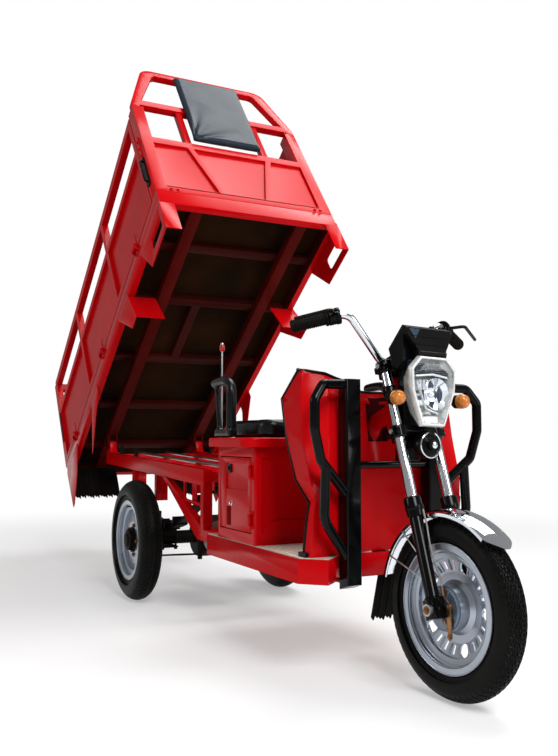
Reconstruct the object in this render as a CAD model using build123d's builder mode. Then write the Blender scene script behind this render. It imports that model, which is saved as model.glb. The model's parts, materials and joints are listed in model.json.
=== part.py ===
"""Electric cargo tricycle with a tipping bed.

Everything is in millimetres: +X forward, +Y to the vehicle's left, +Z up.  Pieces are drawn on
axle coordinates (x = 0 at the rear axle, z = 0 on the ground), the bed level on its chassis and
the fork straight ahead.  Each group is then set as the parked tricycle stands: the bed tipped
about its hinge, the fork turned a little to the left, and the origin under the middle.
"""
from build123d import *
from math import cos, radians, sin
import os

os.makedirs("parts", exist_ok=True)

# ---------------------------------------------------------------- driving dimensions
wheelbase = 1670
track = 670

rear_tyre_radius = 248
rear_tyre_width = 96
front_tyre_radius = 233
front_tyre_width = 80
rim_radius = 165            # outside of the rim flange
bead_radius = 152           # where the tyre sits
wheel_bearing_gap = 0.05    # radial running clearance of every wheel, stem and hinge pin
wheel_pin_radius = 10

rake = 18.5                 # fork angle from the vertical
steer_at_rest = 4.0         # the fork stands turned this far to the left
stem_setback = 35           # steering axis behind the fork legs
fork_spread = 64            # each leg from the middle

bed_length = 1850
bed_width = 790
bed_base_z = 677            # underside of the bed sills with the bed down
cab_length = 908            # from the bed's front edge to the front axle
tip_angle = 36.5
hinge_from_rear = 329       # bed hinge, ahead of the bed's rear edge
hinge_below_bed = 33
board_height = 570          # side boards and tailgate, foot to top rail
panel_height = 360          # closed part of each board
board_thick = 30
board_foot = 80             # foot of the boards above the sill's underside
post_height = 663           # headboard posts, up to the bend of the hoop
hoop_height = 980
hoop_inset = 95             # how far the hoop's corners lean in
hoop_bend = 64              # outer radius of its bends
tube = 30                   # bed frame tube, across
running_gap = 6             # between parts that swing past each other
seat_gap = 0.3              # between pieces that are laid on one another

rail_y = 235                # chassis rails and bed rails, from the middle
rail_width = 36
rail_depth = 60
rail_overhang = 41          # rails behind the bed's hinge
rail_setback = 202          # their front end, behind the bed's front edge
rail_rear_z = 606           # top of the rail at its rear end
rail_front_z = 556

floor_half = 290            # footwell floor, from the middle
floor_lap = 72              # floor behind the bed's front edge
floor_setback = 245         # its front corners, behind the front axle
floor_notch = 85            # middle of its front edge, set back for the wheel
nose_half = 130             # half of that middle part
floor_base_z = 268
floor_depth = 68

box_setback = 28            # seat box ahead of the bed
box_length = 288
box_top_z = 642
platform_rear_lip = 12      # seat platform past the box, behind and ahead
platform_front_lip = 34
platform_half = 335
platform_thick = 30
sheet = 3                   # pressed sheet steel

# ---------------------------------------------------------------- places that follow from them
bed_front_x = wheelbase - cab_length
bed_rear_x = bed_front_x - bed_length
hinge_x = bed_rear_x + hinge_from_rear
hinge_z = bed_base_z - hinge_below_bed
half = bed_width / 2
board_out = 10              # hinge line of the boards, outside their face
floor_top_z = floor_base_z + floor_depth
rail_rear_x = hinge_x - rail_overhang
rail_front_x = bed_front_x - rail_setback
floor_rear_x = bed_front_x - floor_lap
floor_front_x = wheelbase - floor_setback
floor_nose_x = floor_front_x - floor_notch
box_rear_x = bed_front_x + box_setback
box_front_x = box_rear_x + box_length
platform_rear_x = box_rear_x - platform_rear_lip
platform_front_x = box_front_x + platform_front_lip

tailgate_x = bed_rear_x - running_gap - board_thick
tip_back = (tailgate_x - hinge_x) * cos(radians(tip_angle))
tip_over = (bed_base_z + board_foot + board_height - hinge_z) * sin(radians(tip_angle))
rearmost_x = hinge_x + tip_back - tip_over
origin_x = (rearmost_x + wheelbase + front_tyre_radius) / 2

fork = Plane(
    origin=(wheelbase, 0, front_tyre_radius),
    x_dir=(cos(radians(rake)), 0, sin(radians(rake))),
    z_dir=(-sin(radians(rake)), 0, cos(radians(rake))),
)                           # x ahead of the legs, y left, z up along the legs
steering_axis = Axis(fork.from_local_coords((-stem_setback, 0, 0)), fork.z_dir)
hinge_axis = Axis((hinge_x, 0, hinge_z), (0, 1, 0))


# ---------------------------------------------------------------- helpers
def stand(part):
    """Leave a piece of the chassis where it is drawn."""
    return part


def tip(part):
    """Tip a piece of the bed about the bed hinge."""
    return part.rotate(hinge_axis, -tip_angle)


def steer(part):
    """Turn a piece of the steering about the head tube."""
    return part.rotate(steering_axis, steer_at_rest)


def save(name, builder, carry=stand):
    """Carry a finished piece to its place, label it and write it."""
    part = carry(builder.part).moved(Location((-origin_x, 0, 0)))
    part.label = name
    export_step(part, f"parts/{name}.step")


def side_plane(y):
    """A sketch plane seen from the vehicle's right: its x is +X and its y is +Z."""
    return Plane(origin=(0, y, 0), x_dir=(1, 0, 0), z_dir=(0, -1, 0))


def slab(points, y_low, y_high):
    """Extrude a side outline, given as (x, z) points, across from y_low to y_high."""
    with BuildSketch(side_plane(y_high)) as outline:
        with BuildLine():
            Polyline(*points, close=True)
        make_face()
    extrude(outline.sketch, amount=y_high - y_low)


def block(x_low, x_high, y_low, y_high, z_low, z_high, mode=Mode.ADD):
    """A block between two opposite corners."""
    middle = ((x_low + x_high) / 2, (y_low + y_high) / 2, (z_low + z_high) / 2)
    with Locations(middle):
        Box(x_high - x_low, y_high - y_low, z_high - z_low, mode=mode)


def bar_across(x, z, radius, y_low, y_high, mode=Mode.ADD):
    """A round bar that lies across the vehicle."""
    with BuildSketch(side_plane(y_high)) as section:
        with Locations((x, z)):
            Circle(radius)
    extrude(section.sketch, amount=y_high - y_low, mode=mode)


def tube_along(path_points, radius, bend, plane=Plane.XY):
    """A round tube that follows straight runs joined by bends."""
    with BuildLine(plane) as path:
        if len(path_points) > 2:
            FilletPolyline(*path_points, radius=bend)
        else:
            Line(*path_points)
    route = path.wires()[0]
    with BuildSketch(Plane(origin=route @ 0, z_dir=route % 0)) as section:
        Circle(radius)
    sweep(section.sketch, path=route)


def rail_top(x):
    """Height of the chassis rail's top at x."""
    share = (x - rail_rear_x) / (rail_front_x - rail_rear_x)
    return rail_rear_z + share * (rail_front_z - rail_rear_z)


def under_rail(x):
    """Height at x of what is set against the underside of the chassis rail."""
    return rail_top(x) - rail_depth - seat_gap


# ---------------------------------------------------------------- chassis
boss_radius = 18
boss_length = rail_width - 2
pin_radius = 10
lower_rail_depth = 40
lower_rail_z = floor_top_z - lower_rail_depth
head_tube_low = 496
head_tube_high = 648
head_tube_radius = 24
stem_radius = 14
neck_radius = 24
cross_depth = 40
neck_foot_x = floor_nose_x - 60
skirt_flange = 28

spring_y = 200
spring_width = 44
axle_tube_radius = 28
drum_radius = 82
wheel_inner = track / 2 - rear_tyre_width / 2
axle_end = track / 2 + 30
spring_seat_z = rear_tyre_radius + axle_tube_radius + 8
leaf_thick = 7
spring_eye_x = 400
spring_eye_rise = 120

eye_radius = 15
eye_pin_radius = 8
eye_z = spring_seat_z + 3 * leaf_thick + spring_eye_rise + 14
hanger_half = spring_width / 2 + seat_gap + 6

hanger_sheet = 6
hanger_length = 44
stop_x = -50
stop_half = 15
post_length = 30
brace_reach = 460           # foot of the brace, behind the rail's front end
brace_depth = 45
cross_half = 20

with BuildPart() as chassis_frame:
    for side in (-1, 1):
        low, high = sorted((side * (rail_y - rail_width / 2), side * (rail_y + rail_width / 2)))
        rail = [(rail_rear_x, rail_rear_z), (rail_front_x, rail_front_z)]
        rail += [(x, z - rail_depth) for x, z in reversed(rail)]
        slab(rail, low, high)
        gusset = [(hinge_x - boss_radius, hinge_z), (hinge_x + boss_radius, hinge_z)]
        gusset += [(hinge_x + 40, rail_top(hinge_x) - 5), (rail_rear_x + 4, rail_top(hinge_x) - 5)]
        boss_low, boss_high = sorted((side * (rail_y - boss_length / 2),
                                      side * (rail_y + boss_length / 2)))
        slab(gusset, boss_low, boss_high)
        bar_across(hinge_x, hinge_z, boss_radius, boss_low, boss_high)
    cross_run = rail_front_x - rail_rear_x - 70
    for step in range(4):
        x = rail_rear_x + 30 + step * cross_run / 3
        top = rail_top(x) - 10
        block(x - cross_half, x + cross_half, -rail_y, rail_y, top - cross_depth, top)
    for side in (-1, 1):
        bar_across(hinge_x, hinge_z, pin_radius + wheel_bearing_gap,
                   *sorted((side * (rail_y - 40), side * (rail_y + 40))), mode=Mode.SUBTRACT)
save("chassis_frame", chassis_frame)

# each hanger is an upturned U under the rail, with the pin of the spring's eye
with BuildPart() as spring_hangers:
    for side in (-1, 1):
        middle = side * spring_y
        for x in (-spring_eye_x, spring_eye_x):
            rear, front = x - hanger_length / 2, x + hanger_length / 2
            slab([(rear, eye_z - 20), (front, eye_z - 20), (front, under_rail(front)),
                  (rear, under_rail(rear))], middle - hanger_half, middle + hanger_half)
            block(rear - 1, front + 1, middle - hanger_half + hanger_sheet,
                  middle + hanger_half - hanger_sheet, eye_z - 21, eye_z + eye_radius + 7,
                  mode=Mode.SUBTRACT)
            bar_across(x, eye_z, eye_pin_radius, middle - hanger_half, middle + hanger_half)
        rear, front = stop_x - stop_half, stop_x + stop_half
        slab([(rear, spring_seat_z + 120), (front, spring_seat_z + 120), (front, under_rail(front)),
              (rear, under_rail(rear))], *sorted((side * (spring_y - 16), side * rail_y)))
save("spring_hangers", spring_hangers)

with BuildPart() as front_frame:
    for side in (-1, 1):
        low, high = sorted((side * (rail_y - rail_width / 2), side * (rail_y + rail_width / 2)))
        post_x = rail_front_x - post_length
        slab([(post_x, lower_rail_z), (rail_front_x, lower_rail_z),
              (rail_front_x, under_rail(rail_front_x)), (post_x, under_rail(post_x))], low, high)
        foot_x = rail_front_x - brace_reach
        brace = [(x, under_rail(x)) for x in (foot_x, foot_x + brace_depth)]
        brace += [(rail_front_x, lower_rail_z + lower_rail_depth), (rail_front_x, lower_rail_z)]
        brace += [(rail_front_x - 60, lower_rail_z)]
        slab(brace, *sorted((side * (rail_y - 8), side * (rail_y + rail_width / 2))))
        block(post_x, floor_nose_x - 40, low, high, lower_rail_z, lower_rail_z + lower_rail_depth)
    for x in (rail_front_x - 15, (box_rear_x + box_front_x) / 2, neck_foot_x):
        block(x - cross_half, x + cross_half, -rail_y, rail_y, lower_rail_z,
              lower_rail_z + lower_rail_depth)
    neck_top = fork.from_local_coords((-stem_setback, 0, (head_tube_low + head_tube_high) / 2))
    tube_along(
        [(neck_top.X, neck_top.Z), (neck_top.X - 165, neck_top.Z - 60),
         (neck_foot_x, lower_rail_z + lower_rail_depth / 2)],
        neck_radius, 70, side_plane(0))
    with BuildSketch(fork.offset(head_tube_low)):
        with Locations((-stem_setback, 0)):
            Circle(head_tube_radius)
    extrude(amount=head_tube_high - head_tube_low)
    with BuildSketch(fork.offset(head_tube_low - 1)):
        with Locations((-stem_setback, 0)):
            Circle(stem_radius + wheel_bearing_gap)
    extrude(amount=head_tube_high - head_tube_low + 2, mode=Mode.SUBTRACT)
save("front_frame", front_frame)

# ---------------------------------------------------------------- rear axle and springs
with BuildPart() as rear_axle:
    bar_across(0, rear_tyre_radius, axle_tube_radius, -wheel_inner + 30, wheel_inner - 30)
    bar_across(0, rear_tyre_radius, wheel_pin_radius, -axle_end, axle_end)
    for side in (-1, 1):
        bar_across(0, rear_tyre_radius, drum_radius,
                   *sorted((side * (wheel_inner - 32), side * (wheel_inner - 8))))
        block(-45, 45, *sorted((side * (spring_y - 24), side * (spring_y + 24))),
              rear_tyre_radius + 10, spring_seat_z - seat_gap)
    with BuildSketch(Plane.XZ.offset(-70)):
        with Locations((0, rear_tyre_radius)):
            Circle(88)
    extrude(amount=140)
    fillet(rear_axle.edges().filter_by(GeomType.CIRCLE).filter_by(
        lambda edge: abs(edge.radius - 88) < 0.1), 20)
    with BuildSketch(Plane.YZ):
        with Locations((0, rear_tyre_radius)):
            Circle(60)
    extrude(amount=104)
save("rear_axle", rear_axle)

motor_radius = 74
motor_face_x = 104

with BuildPart() as drive_motor:
    with BuildSketch(Plane.YZ.offset(motor_face_x + seat_gap)):
        with Locations((0, rear_tyre_radius)):
            Circle(motor_radius)
    extrude(amount=190)
    fillet(drive_motor.edges(), 10)
save("drive_motor", drive_motor)

with BuildPart() as leaf_springs:
    for side in (-1, 1):
        y_low = side * spring_y - spring_width / 2
        for leaf, reach in enumerate((spring_eye_x, 300, 200, 110)):
            # each leaf is an arc through its two tips and its seat on the axle
            seat = spring_seat_z + (3 - leaf) * leaf_thick
            rise = spring_eye_rise * (reach / spring_eye_x) ** 2
            with BuildSketch(side_plane(y_low + spring_width)):
                with BuildLine():
                    lower = ThreePointArc((-reach, seat + rise), (0, seat), (reach, seat + rise))
                    upper = ThreePointArc((-reach, seat + rise + leaf_thick),
                                          (0, seat + leaf_thick),
                                          (reach, seat + rise + leaf_thick))
                    Line(lower @ 0, upper @ 0)
                    Line(lower @ 1, upper @ 1)
                make_face()
            extrude(amount=spring_width)
        for x in (-spring_eye_x, spring_eye_x):
            bar_across(x, eye_z, eye_radius, y_low, y_low + spring_width)
            bar_across(x, eye_z, eye_pin_radius + seat_gap, y_low, y_low + spring_width,
                       mode=Mode.SUBTRACT)
save("leaf_springs", leaf_springs)

# ---------------------------------------------------------------- wheels
rim_sheet = 4
rim_well = 22               # depth of the rim's drop centre
shoulder = 0.36             # of the tyre's width: depth of its rounded crown


def tyre(name, x, y, radius, width, carry):
    """A tyre: a round crown on straight side walls, beaded onto its rim."""
    foot = width * 0.32
    wall = width / 2
    with BuildPart() as body:
        with BuildSketch(Plane(origin=(x, y, radius), x_dir=(0, 1, 0), z_dir=(1, 0, 0))):
            with BuildLine():
                Polyline((-foot, bead_radius), (-foot, rim_radius + 3),
                         (-wall, radius - width * 0.62), (-wall + 2, radius - width * shoulder))
                ThreePointArc((-wall + 2, radius - width * shoulder), (0, radius),
                              (wall - 2, radius - width * shoulder))
                Polyline((wall - 2, radius - width * shoulder), (wall, radius - width * 0.62),
                         (foot, rim_radius + 3), (foot, bead_radius), (foot - 9, bead_radius),
                         (wall - 12, radius - width * 0.55), (0, radius - 14),
                         (12 - wall, radius - width * 0.55), (9 - foot, bead_radius),
                         (-foot, bead_radius))
            make_face()
        revolve(axis=Axis((x, y, radius), (0, 1, 0)))
    save(name, body, carry)


def wheel(name, x, y, radius, width, hub_radius, hub_half, face, openings, carry):
    """A pressed wheel: rim, dished disc with rings of round or slotted holes, and hub.

    Each ring of openings is (count, width, length, ring radius, first angle).
    """
    foot = width * 0.32
    seat = bead_radius - seat_gap
    well = seat - rim_well
    lip = foot + 1 + rim_sheet
    with BuildPart() as body:
        with BuildSketch(Plane(origin=(x, y, radius), x_dir=(0, 1, 0), z_dir=(1, 0, 0))):
            with BuildLine():
                Polyline(
                    (-lip, rim_radius), (-lip, seat - rim_sheet), (-foot + 8, seat - rim_sheet),
                    (-foot + 14, well - rim_sheet), (foot - 14, well - rim_sheet),
                    (foot - 8, seat - rim_sheet), (lip, seat - rim_sheet), (lip, rim_radius),
                    (lip - rim_sheet, rim_radius), (lip - rim_sheet, seat), (foot - 11, seat),
                    (foot - 17, well), (-foot + 17, well), (-foot + 11, seat),
                    (rim_sheet - lip, seat), (rim_sheet - lip, rim_radius), close=True)
            make_face()
            with BuildLine():
                Polyline((face * 2, hub_radius - 6), (face * 14, hub_radius + 10),
                         (face * 14, hub_radius + 34), (face * 3, well - 1),
                         (face * -2, well - 1), (face * 9, hub_radius + 32),
                         (face * 9, hub_radius + 12), (face * -4, hub_radius - 6), close=True)
            make_face()
            with Locations((0, (hub_radius + wheel_pin_radius) / 2)):
                Rectangle(2 * hub_half, hub_radius - wheel_pin_radius)
        revolve(axis=Axis((x, y, radius), (0, 1, 0)))
        bar_across(x, radius, wheel_pin_radius + wheel_bearing_gap, y - 80, y + 80,
                   mode=Mode.SUBTRACT)
        with BuildSketch(Plane.XZ.offset(-y - 40)):
            with Locations((x, radius)):
                for count, across, length, ring, first in openings:
                    with PolarLocations(ring, count, start_angle=first):
                        if length > across:
                            SlotOverall(length, across)
                        else:
                            Circle(across / 2)
        extrude(amount=80, mode=Mode.SUBTRACT)
    save(name, body, carry)


rear_hub_radius = 40
rear_hole_ring = 104
front_drum_radius = 58
front_window_ring = 108

for side, hand in ((-1, "right"), (1, "left")):
    y = side * track / 2
    tyre(f"rear_tyre_{hand}", 0, y, rear_tyre_radius, rear_tyre_width, stand)
    wheel(f"rear_wheel_{hand}", 0, y, rear_tyre_radius, rear_tyre_width, rear_hub_radius, 36, side,
          [(8, 13, 13, rear_hole_ring, 0)], stand)
tyre("front_tyre", wheelbase, 0, front_tyre_radius, front_tyre_width, steer)
# five round windows with three narrow slots between each pair, in a ring about the brake drum
front_openings = [(5, 30, 34, front_window_ring, 0)]
front_openings += [(5, 8, 26, front_window_ring, turn) for turn in (20, 36, 52)]
wheel("front_wheel", wheelbase, 0, front_tyre_radius, front_tyre_width, front_drum_radius, 30, 1,
      front_openings, steer)

# ---------------------------------------------------------------- footwell floor and seat box
def floor_outline(inset=0):
    """Right-hand edge of the floor, from its rear corner to the middle of its nose."""
    edge = floor_half - inset
    return [(floor_rear_x + inset, -edge), (floor_front_x - 62, -edge),
            (floor_front_x - inset, -edge + 62), (floor_nose_x - inset, -nose_half)]


def whole(points):
    """A half outline on the right, followed by its mirror on the left."""
    return points + [(x, -y) for x, y in reversed(points)]


with BuildPart() as floor_skirt:
    with BuildSketch(Plane.XY.offset(floor_base_z)):
        with BuildLine():
            Polyline(*whole(floor_outline()), close=True)
        make_face()
    extrude(amount=floor_depth)
    with BuildSketch(Plane.XY.offset(floor_base_z - 1)):
        with BuildLine():
            Polyline(*whole(floor_outline(skirt_flange)), close=True)
        make_face()
    extrude(amount=floor_depth + 2, mode=Mode.SUBTRACT)
    with BuildSketch(Plane.XY.offset(floor_base_z + sheet)):
        with BuildLine():
            Polyline(*whole(floor_outline(sheet)), close=True)
        make_face()
    extrude(amount=floor_depth, mode=Mode.SUBTRACT)
    for y in (-rail_y, rail_y):
        block(floor_rear_x - 1, floor_rear_x + sheet + 1, y - rail_width / 2 - seat_gap,
              y + rail_width / 2 + seat_gap, lower_rail_z - seat_gap, floor_top_z + 1,
              mode=Mode.SUBTRACT)
save("floor_skirt", floor_skirt)

with BuildPart() as floor_plate:
    with BuildSketch(Plane.XY.offset(floor_top_z + seat_gap)):
        with BuildLine():
            Polyline(*whole(floor_outline(sheet)), close=True)
        make_face()
    extrude(amount=sheet)
    block(neck_foot_x - neck_radius - 8, floor_nose_x + 5, -neck_radius - 6, neck_radius + 6,
          floor_top_z - 5, floor_top_z + 10, mode=Mode.SUBTRACT)
save("floor_plate", floor_plate)

box_base_z = floor_top_z + sheet + 2 * seat_gap
door_rear_x = box_rear_x + 22
door_front_x = box_front_x - 22
door_low_z = box_base_z + 36
door_high_z = box_top_z - 34
door_gap = 3
door_hinge_radius = 5

door_hinge_x = door_front_x + door_gap / 2
door_hinge_y = -floor_half - door_hinge_radius - 1
door_knuckle = 34
door_knuckle_gap = 1
door_pin_radius = 2.5
door_knuckle_z = (door_low_z + 24, door_high_z - 24 - door_knuckle)

panel_half = 266            # half of the pressed panel in the box's front
front_step = 6
recess_depth = 6            # finger recess of the door
recess_sheet = 2
recess_x = (door_rear_x + 47, door_front_x - 24)
recess_z = (door_high_z - 104, door_high_z - 18)
finger_width = 30
finger_height = 26
vent_height = 66


def door_rod(radius, z_low, z_high, mode=Mode.ADD):
    """A round bar on the hinge line of the seat box's door."""
    with Locations((door_hinge_x, door_hinge_y, z_low)):
        Cylinder(radius, z_high - z_low, align=(Align.CENTER, Align.CENTER, Align.MIN), mode=mode)


with BuildPart() as seat_box:
    block(box_rear_x, box_front_x, -floor_half, floor_half, box_base_z, box_top_z)
    block(box_rear_x + sheet, box_front_x - sheet, -floor_half + sheet, floor_half - sheet,
          box_base_z - 1, box_top_z - sheet, mode=Mode.SUBTRACT)
    block(door_rear_x - door_gap, door_front_x + door_gap, -floor_half - 1,
          -floor_half + sheet + 1, door_low_z - door_gap, door_high_z + door_gap,
          mode=Mode.SUBTRACT)
    # the front stands out all round a pressed panel with cut-off lower corners
    with BuildSketch(Plane.YZ.offset(box_front_x)):
        with Locations((0, (box_base_z + box_top_z) / 2)):
            Rectangle(2 * floor_half, box_top_z - box_base_z)
        with BuildLine():
            Polyline((-panel_half, door_high_z), (-panel_half, door_low_z),
                     (42 - panel_half, door_low_z + 38), (panel_half - 42, door_low_z + 38),
                     (panel_half, door_low_z), (panel_half, door_high_z), close=True)
        make_face(mode=Mode.SUBTRACT)
    extrude(amount=front_step)
    corners = seat_box.edges().filter_by(Axis.Z).sort_by(Axis.X).group_by(Axis.X)[-1]
    fillet(corners.filter_by(lambda edge: abs(edge.center().Y) > panel_half + 1), 7)
    for z in door_knuckle_z:
        for low in (z - door_knuckle_gap - 8, z + door_knuckle + door_knuckle_gap):
            door_rod(door_hinge_radius, low, low + 8)
            block(door_hinge_x, box_front_x - 6, door_hinge_y - door_hinge_radius,
                  door_hinge_y + door_hinge_radius - 1, low, low + 8)
            block(door_front_x + door_gap + 1, box_front_x - 6, door_hinge_y, 1 - floor_half,
                  low, low + 8)
        door_rod(door_pin_radius, z - 4, z + door_knuckle + 4)
save("seat_box", seat_box)

with BuildPart() as box_door:
    block(door_rear_x, door_front_x, -floor_half, -floor_half + sheet, door_low_z, door_high_z)
    recess_width = recess_x[1] - recess_x[0]
    recess_height = recess_z[1] - recess_z[0]
    recess_middle = (sum(recess_x) / 2, sum(recess_z) / 2)
    back = recess_depth - floor_half
    with BuildSketch(side_plane(back)):
        with Locations(recess_middle):
            RectangleRounded(recess_width + 2 * recess_sheet, recess_height + 2 * recess_sheet, 12)
    extrude(amount=recess_depth - 1)
    with BuildSketch(side_plane(back - recess_sheet)):
        with Locations(recess_middle):
            RectangleRounded(recess_width, recess_height, 10)
    extrude(amount=recess_depth, mode=Mode.SUBTRACT)
    block(recess_x[0] + 6, recess_x[0] + 6 + finger_width, back - recess_depth, back + 1,
          recess_z[1] - 6 - finger_height, recess_z[1] - 6, mode=Mode.SUBTRACT)
    block(recess_x[0] + 1, recess_x[0] + 4, -floor_half - 1, back, door_low_z + 8,
          door_low_z + 8 + vent_height, mode=Mode.SUBTRACT)
    for z in door_knuckle_z:
        door_rod(door_hinge_radius, z, z + door_knuckle)
        block(door_front_x - 20, door_hinge_x, -floor_half - 3, 1 - floor_half, z,
              z + door_knuckle)
        door_rod(door_pin_radius + wheel_bearing_gap, z - 1, z + door_knuckle + 1,
                 mode=Mode.SUBTRACT)
save("box_door", box_door)

with BuildPart() as battery_pack:
    block(box_rear_x + 20, box_front_x - 20, -170, 170, box_base_z, box_base_z + 220)
save("battery_pack", battery_pack)

with BuildPart() as seat_platform:
    with BuildSketch(Plane.XY.offset(box_top_z + seat_gap)):
        with Locations(((platform_rear_x + platform_front_x) / 2, 0)):
            RectangleRounded(platform_front_x - platform_rear_x, 2 * platform_half, 45)
    extrude(amount=platform_thick)
    fillet(seat_platform.faces().sort_by(Axis.Z)[-1].edges(), 8)
save("seat_platform", seat_platform)

platform_top = box_top_z + seat_gap + platform_thick
cushion_half = 268
cushion_thick = 56
cushion_base = platform_top + seat_gap
with BuildPart() as seat_cushion:
    block(platform_rear_x + 12, platform_front_x - 16, -cushion_half, cushion_half,
          cushion_base, cushion_base + cushion_thick)
    fillet(seat_cushion.edges().filter_by(Axis.Z), 50)
    fillet(seat_cushion.faces().sort_by(Axis.Z)[-1].edges(), 18)
save("seat_cushion", seat_cushion)

armrest_y = 308
armrest_width = 36
armrest_rear_x = platform_rear_x + 8
armrest_front_x = armrest_rear_x + 172
armrest_top = platform_top + 205
with BuildPart() as armrests:
    outer = [(armrest_rear_x + 6, platform_top + seat_gap),
             (armrest_front_x, platform_top + seat_gap), (armrest_front_x, platform_top + 110),
             (armrest_front_x - 26, armrest_top - 26),
             (armrest_front_x - 62, armrest_top), (armrest_rear_x, armrest_top - 2),
             (armrest_rear_x, armrest_top - 34), (armrest_rear_x + 24, armrest_top - 40),
             (armrest_rear_x + 40, platform_top + 62), (armrest_rear_x + 6, platform_top + 50)]
    inner = [(armrest_rear_x + 62, platform_top + 62), (armrest_front_x - 40, platform_top + 62),
             (armrest_front_x - 40, platform_top + 104), (armrest_front_x - 54, armrest_top - 50),
             (armrest_front_x - 76, armrest_top - 38), (armrest_rear_x + 46, armrest_top - 40)]
    for side in (-1, 1):
        with BuildSketch(side_plane(side * armrest_y + armrest_width / 2)):
            with BuildLine():
                Polyline(*outer, close=True)
            make_face()
            with BuildLine():
                Polyline(*inner, close=True)
            make_face(mode=Mode.SUBTRACT)
        extrude(amount=armrest_width)
save("armrests", armrests)

# ---------------------------------------------------------------- bed rest and small chassis parts
rest_half = 15
rest_x = floor_rear_x + rest_half
with BuildPart() as bed_rest:
    for side in (-1, 1):
        y = side * rail_y
        block(rest_x - rest_half, rest_x + rest_half, y - 14, y + 14,
              floor_top_z + sheet + 2 * seat_gap, bed_base_z - running_gap)
    block(rest_x - rest_half, rest_x + rest_half, -rail_y, rail_y, bed_base_z - running_gap - 40,
          bed_base_z - running_gap)
save("bed_rest", bed_rest)

# the latch lever stands on the seat platform, between the cushion and the right armrest
lever_x = platform_rear_x + 14
lever_y = -(cushion_half + armrest_y - armrest_width / 2) / 2
lever_radius = 3
lever_top_z = platform_top + 322
with BuildPart() as bed_latch_lever:
    with Locations((lever_x, lever_y, platform_top + seat_gap)):
        Cylinder(7, 5, align=(Align.CENTER, Align.CENTER, Align.MIN))
        Cylinder(lever_radius, lever_top_z - platform_top - seat_gap,
                 align=(Align.CENTER, Align.CENTER, Align.MIN))
    with Locations((lever_x, lever_y, lever_top_z)):
        Sphere(2 * lever_radius)
save("bed_latch_lever", bed_latch_lever)

# ---------------------------------------------------------------- leg shield and its guards
shield_base_z = floor_top_z + sheet + 2 * seat_gap
shield_wall = 4
notch_half = neck_radius + 12
notch_low_z = 660
notch_high_z = 772
guard_x = wheelbase - 270   # middle of the guard posts


def shield_level(z, *stations):
    """One level of the shield's sheet, from its wing edge to its middle.

    Each station is (distance behind the guard posts, half width), the last one in the middle.
    """
    outer = [(guard_x - behind, half_width) for behind, half_width in stations]
    right = [(x, -y) for x, y in outer]
    inner = [(outer[0][0], outer[0][1] - shield_wall)]
    inner += [(x - shield_wall, y - shield_wall) for x, y in outer[1:2]]
    inner += [(x - shield_wall, y - 1) for x, y in outer[2:-1]]
    inner += [(outer[-1][0] - shield_wall, 0)]
    left = [(x, y) for x, y in reversed(outer[:-1])]
    back = inner + [(x, -y) for x, y in reversed(inner[:-1])]
    with BuildSketch(Plane.XY.offset(z)) as level:
        with BuildLine():
            Polyline(*(right + left + back), close=True)
        make_face()
    return level.sketch.face()


with BuildPart() as leg_shield:
    levels = [
        shield_level(shield_base_z, (46, 268), (18, 261), (14, 214), (48, 96), (74, 0)),
        shield_level(442, (30, 266), (12, 256), (15, 210), (48, 95), (74, 0)),
        shield_level(490, (20, 263), (6, 252), (16, 207), (48, 95), (74, 0)),
        shield_level(550, (93, 266), (16, 262), (18, 204), (48, 94), (75, 0)),
        shield_level(673, (149, 268), (54, 266), (22, 198), (53, 91), (78, 0)),
        shield_level(786, (181, 266), (70, 262), (32, 190), (72, 86), (92, 0)),
        shield_level(868, (82, 262), (76, 252), (68, 186), (94, 82), (106, 0)),
    ]
    loft(sections=levels, ruled=True)
    # the head of the frame passes through an opening in the sheet
    block(guard_x - 180, guard_x, -notch_half, notch_half, notch_low_z, notch_high_z,
          mode=Mode.SUBTRACT)
    # the top edge dips in the middle, under the handlebar
    above = [(52, 808), (62, 829), (95, 834), (145, 844), (187, 856), (240, 864), (300, 866)]
    above += [(300, 900)]
    with BuildSketch(Plane.YZ.offset(guard_x - 220)):
        with BuildLine():
            Polyline(*([(-y, z) for y, z in reversed(above)] + above), close=True)
        make_face()
    extrude(amount=220, mode=Mode.SUBTRACT)
save("leg_shield", leg_shield)

guard_y = 142
guard_half = 24             # half of the square post
guard_low_z = 246
guard_high_z = 836
hoop_radius = 14
guard_bar_z = 593
guard_bar_radius = 11
hoop_lean = 18              # degrees the hoops lean ahead of the posts

with BuildPart() as front_guard:
    for side in (-1, 1):
        post_y = side * guard_y
        with BuildSketch(Plane.XY.offset(guard_low_z)):
            with Locations((guard_x, post_y)):
                RectangleRounded(2 * guard_half, 2 * guard_half, 5)
        extrude(amount=guard_high_z - guard_low_z)
        reach = guard_half + 1
        foot = [(guard_x - reach, guard_low_z - 1), (guard_x + reach, guard_low_z - 1),
                (guard_x + reach, guard_low_z + 16)]
        with BuildSketch(side_plane(post_y + guard_half + 1)):
            with BuildLine():
                Polyline(*foot, close=True)
            make_face()
        extrude(amount=2 * guard_half + 2, mode=Mode.SUBTRACT)
        block(guard_x - 70, guard_x, post_y - 16, post_y + 16, floor_base_z - seat_gap - 6,
              floor_base_z - seat_gap)
        lean = Plane(origin=(guard_x, post_y, 0),
                     x_dir=(sin(radians(hoop_lean)), side * cos(radians(hoop_lean)), 0),
                     z_dir=(cos(radians(hoop_lean)), -side * sin(radians(hoop_lean)), 0))
        up = 1 if lean.y_dir.Z > 0 else -1
        upper = [(0, 822), (112, 818), (146, 774), (146, 691), (122, 609), (0, 498)]
        lower = [(102, 590), (108, 444), (0, 320)]
        tube_along([(u, up * v) for u, v in upper], hoop_radius, 26, lean)
        tube_along([(u, up * v) for u, v in lower], hoop_radius, 60, lean)
    bar_across(guard_x, guard_bar_z, guard_bar_radius, -guard_y, guard_y)
save("front_guard", front_guard)

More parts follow.
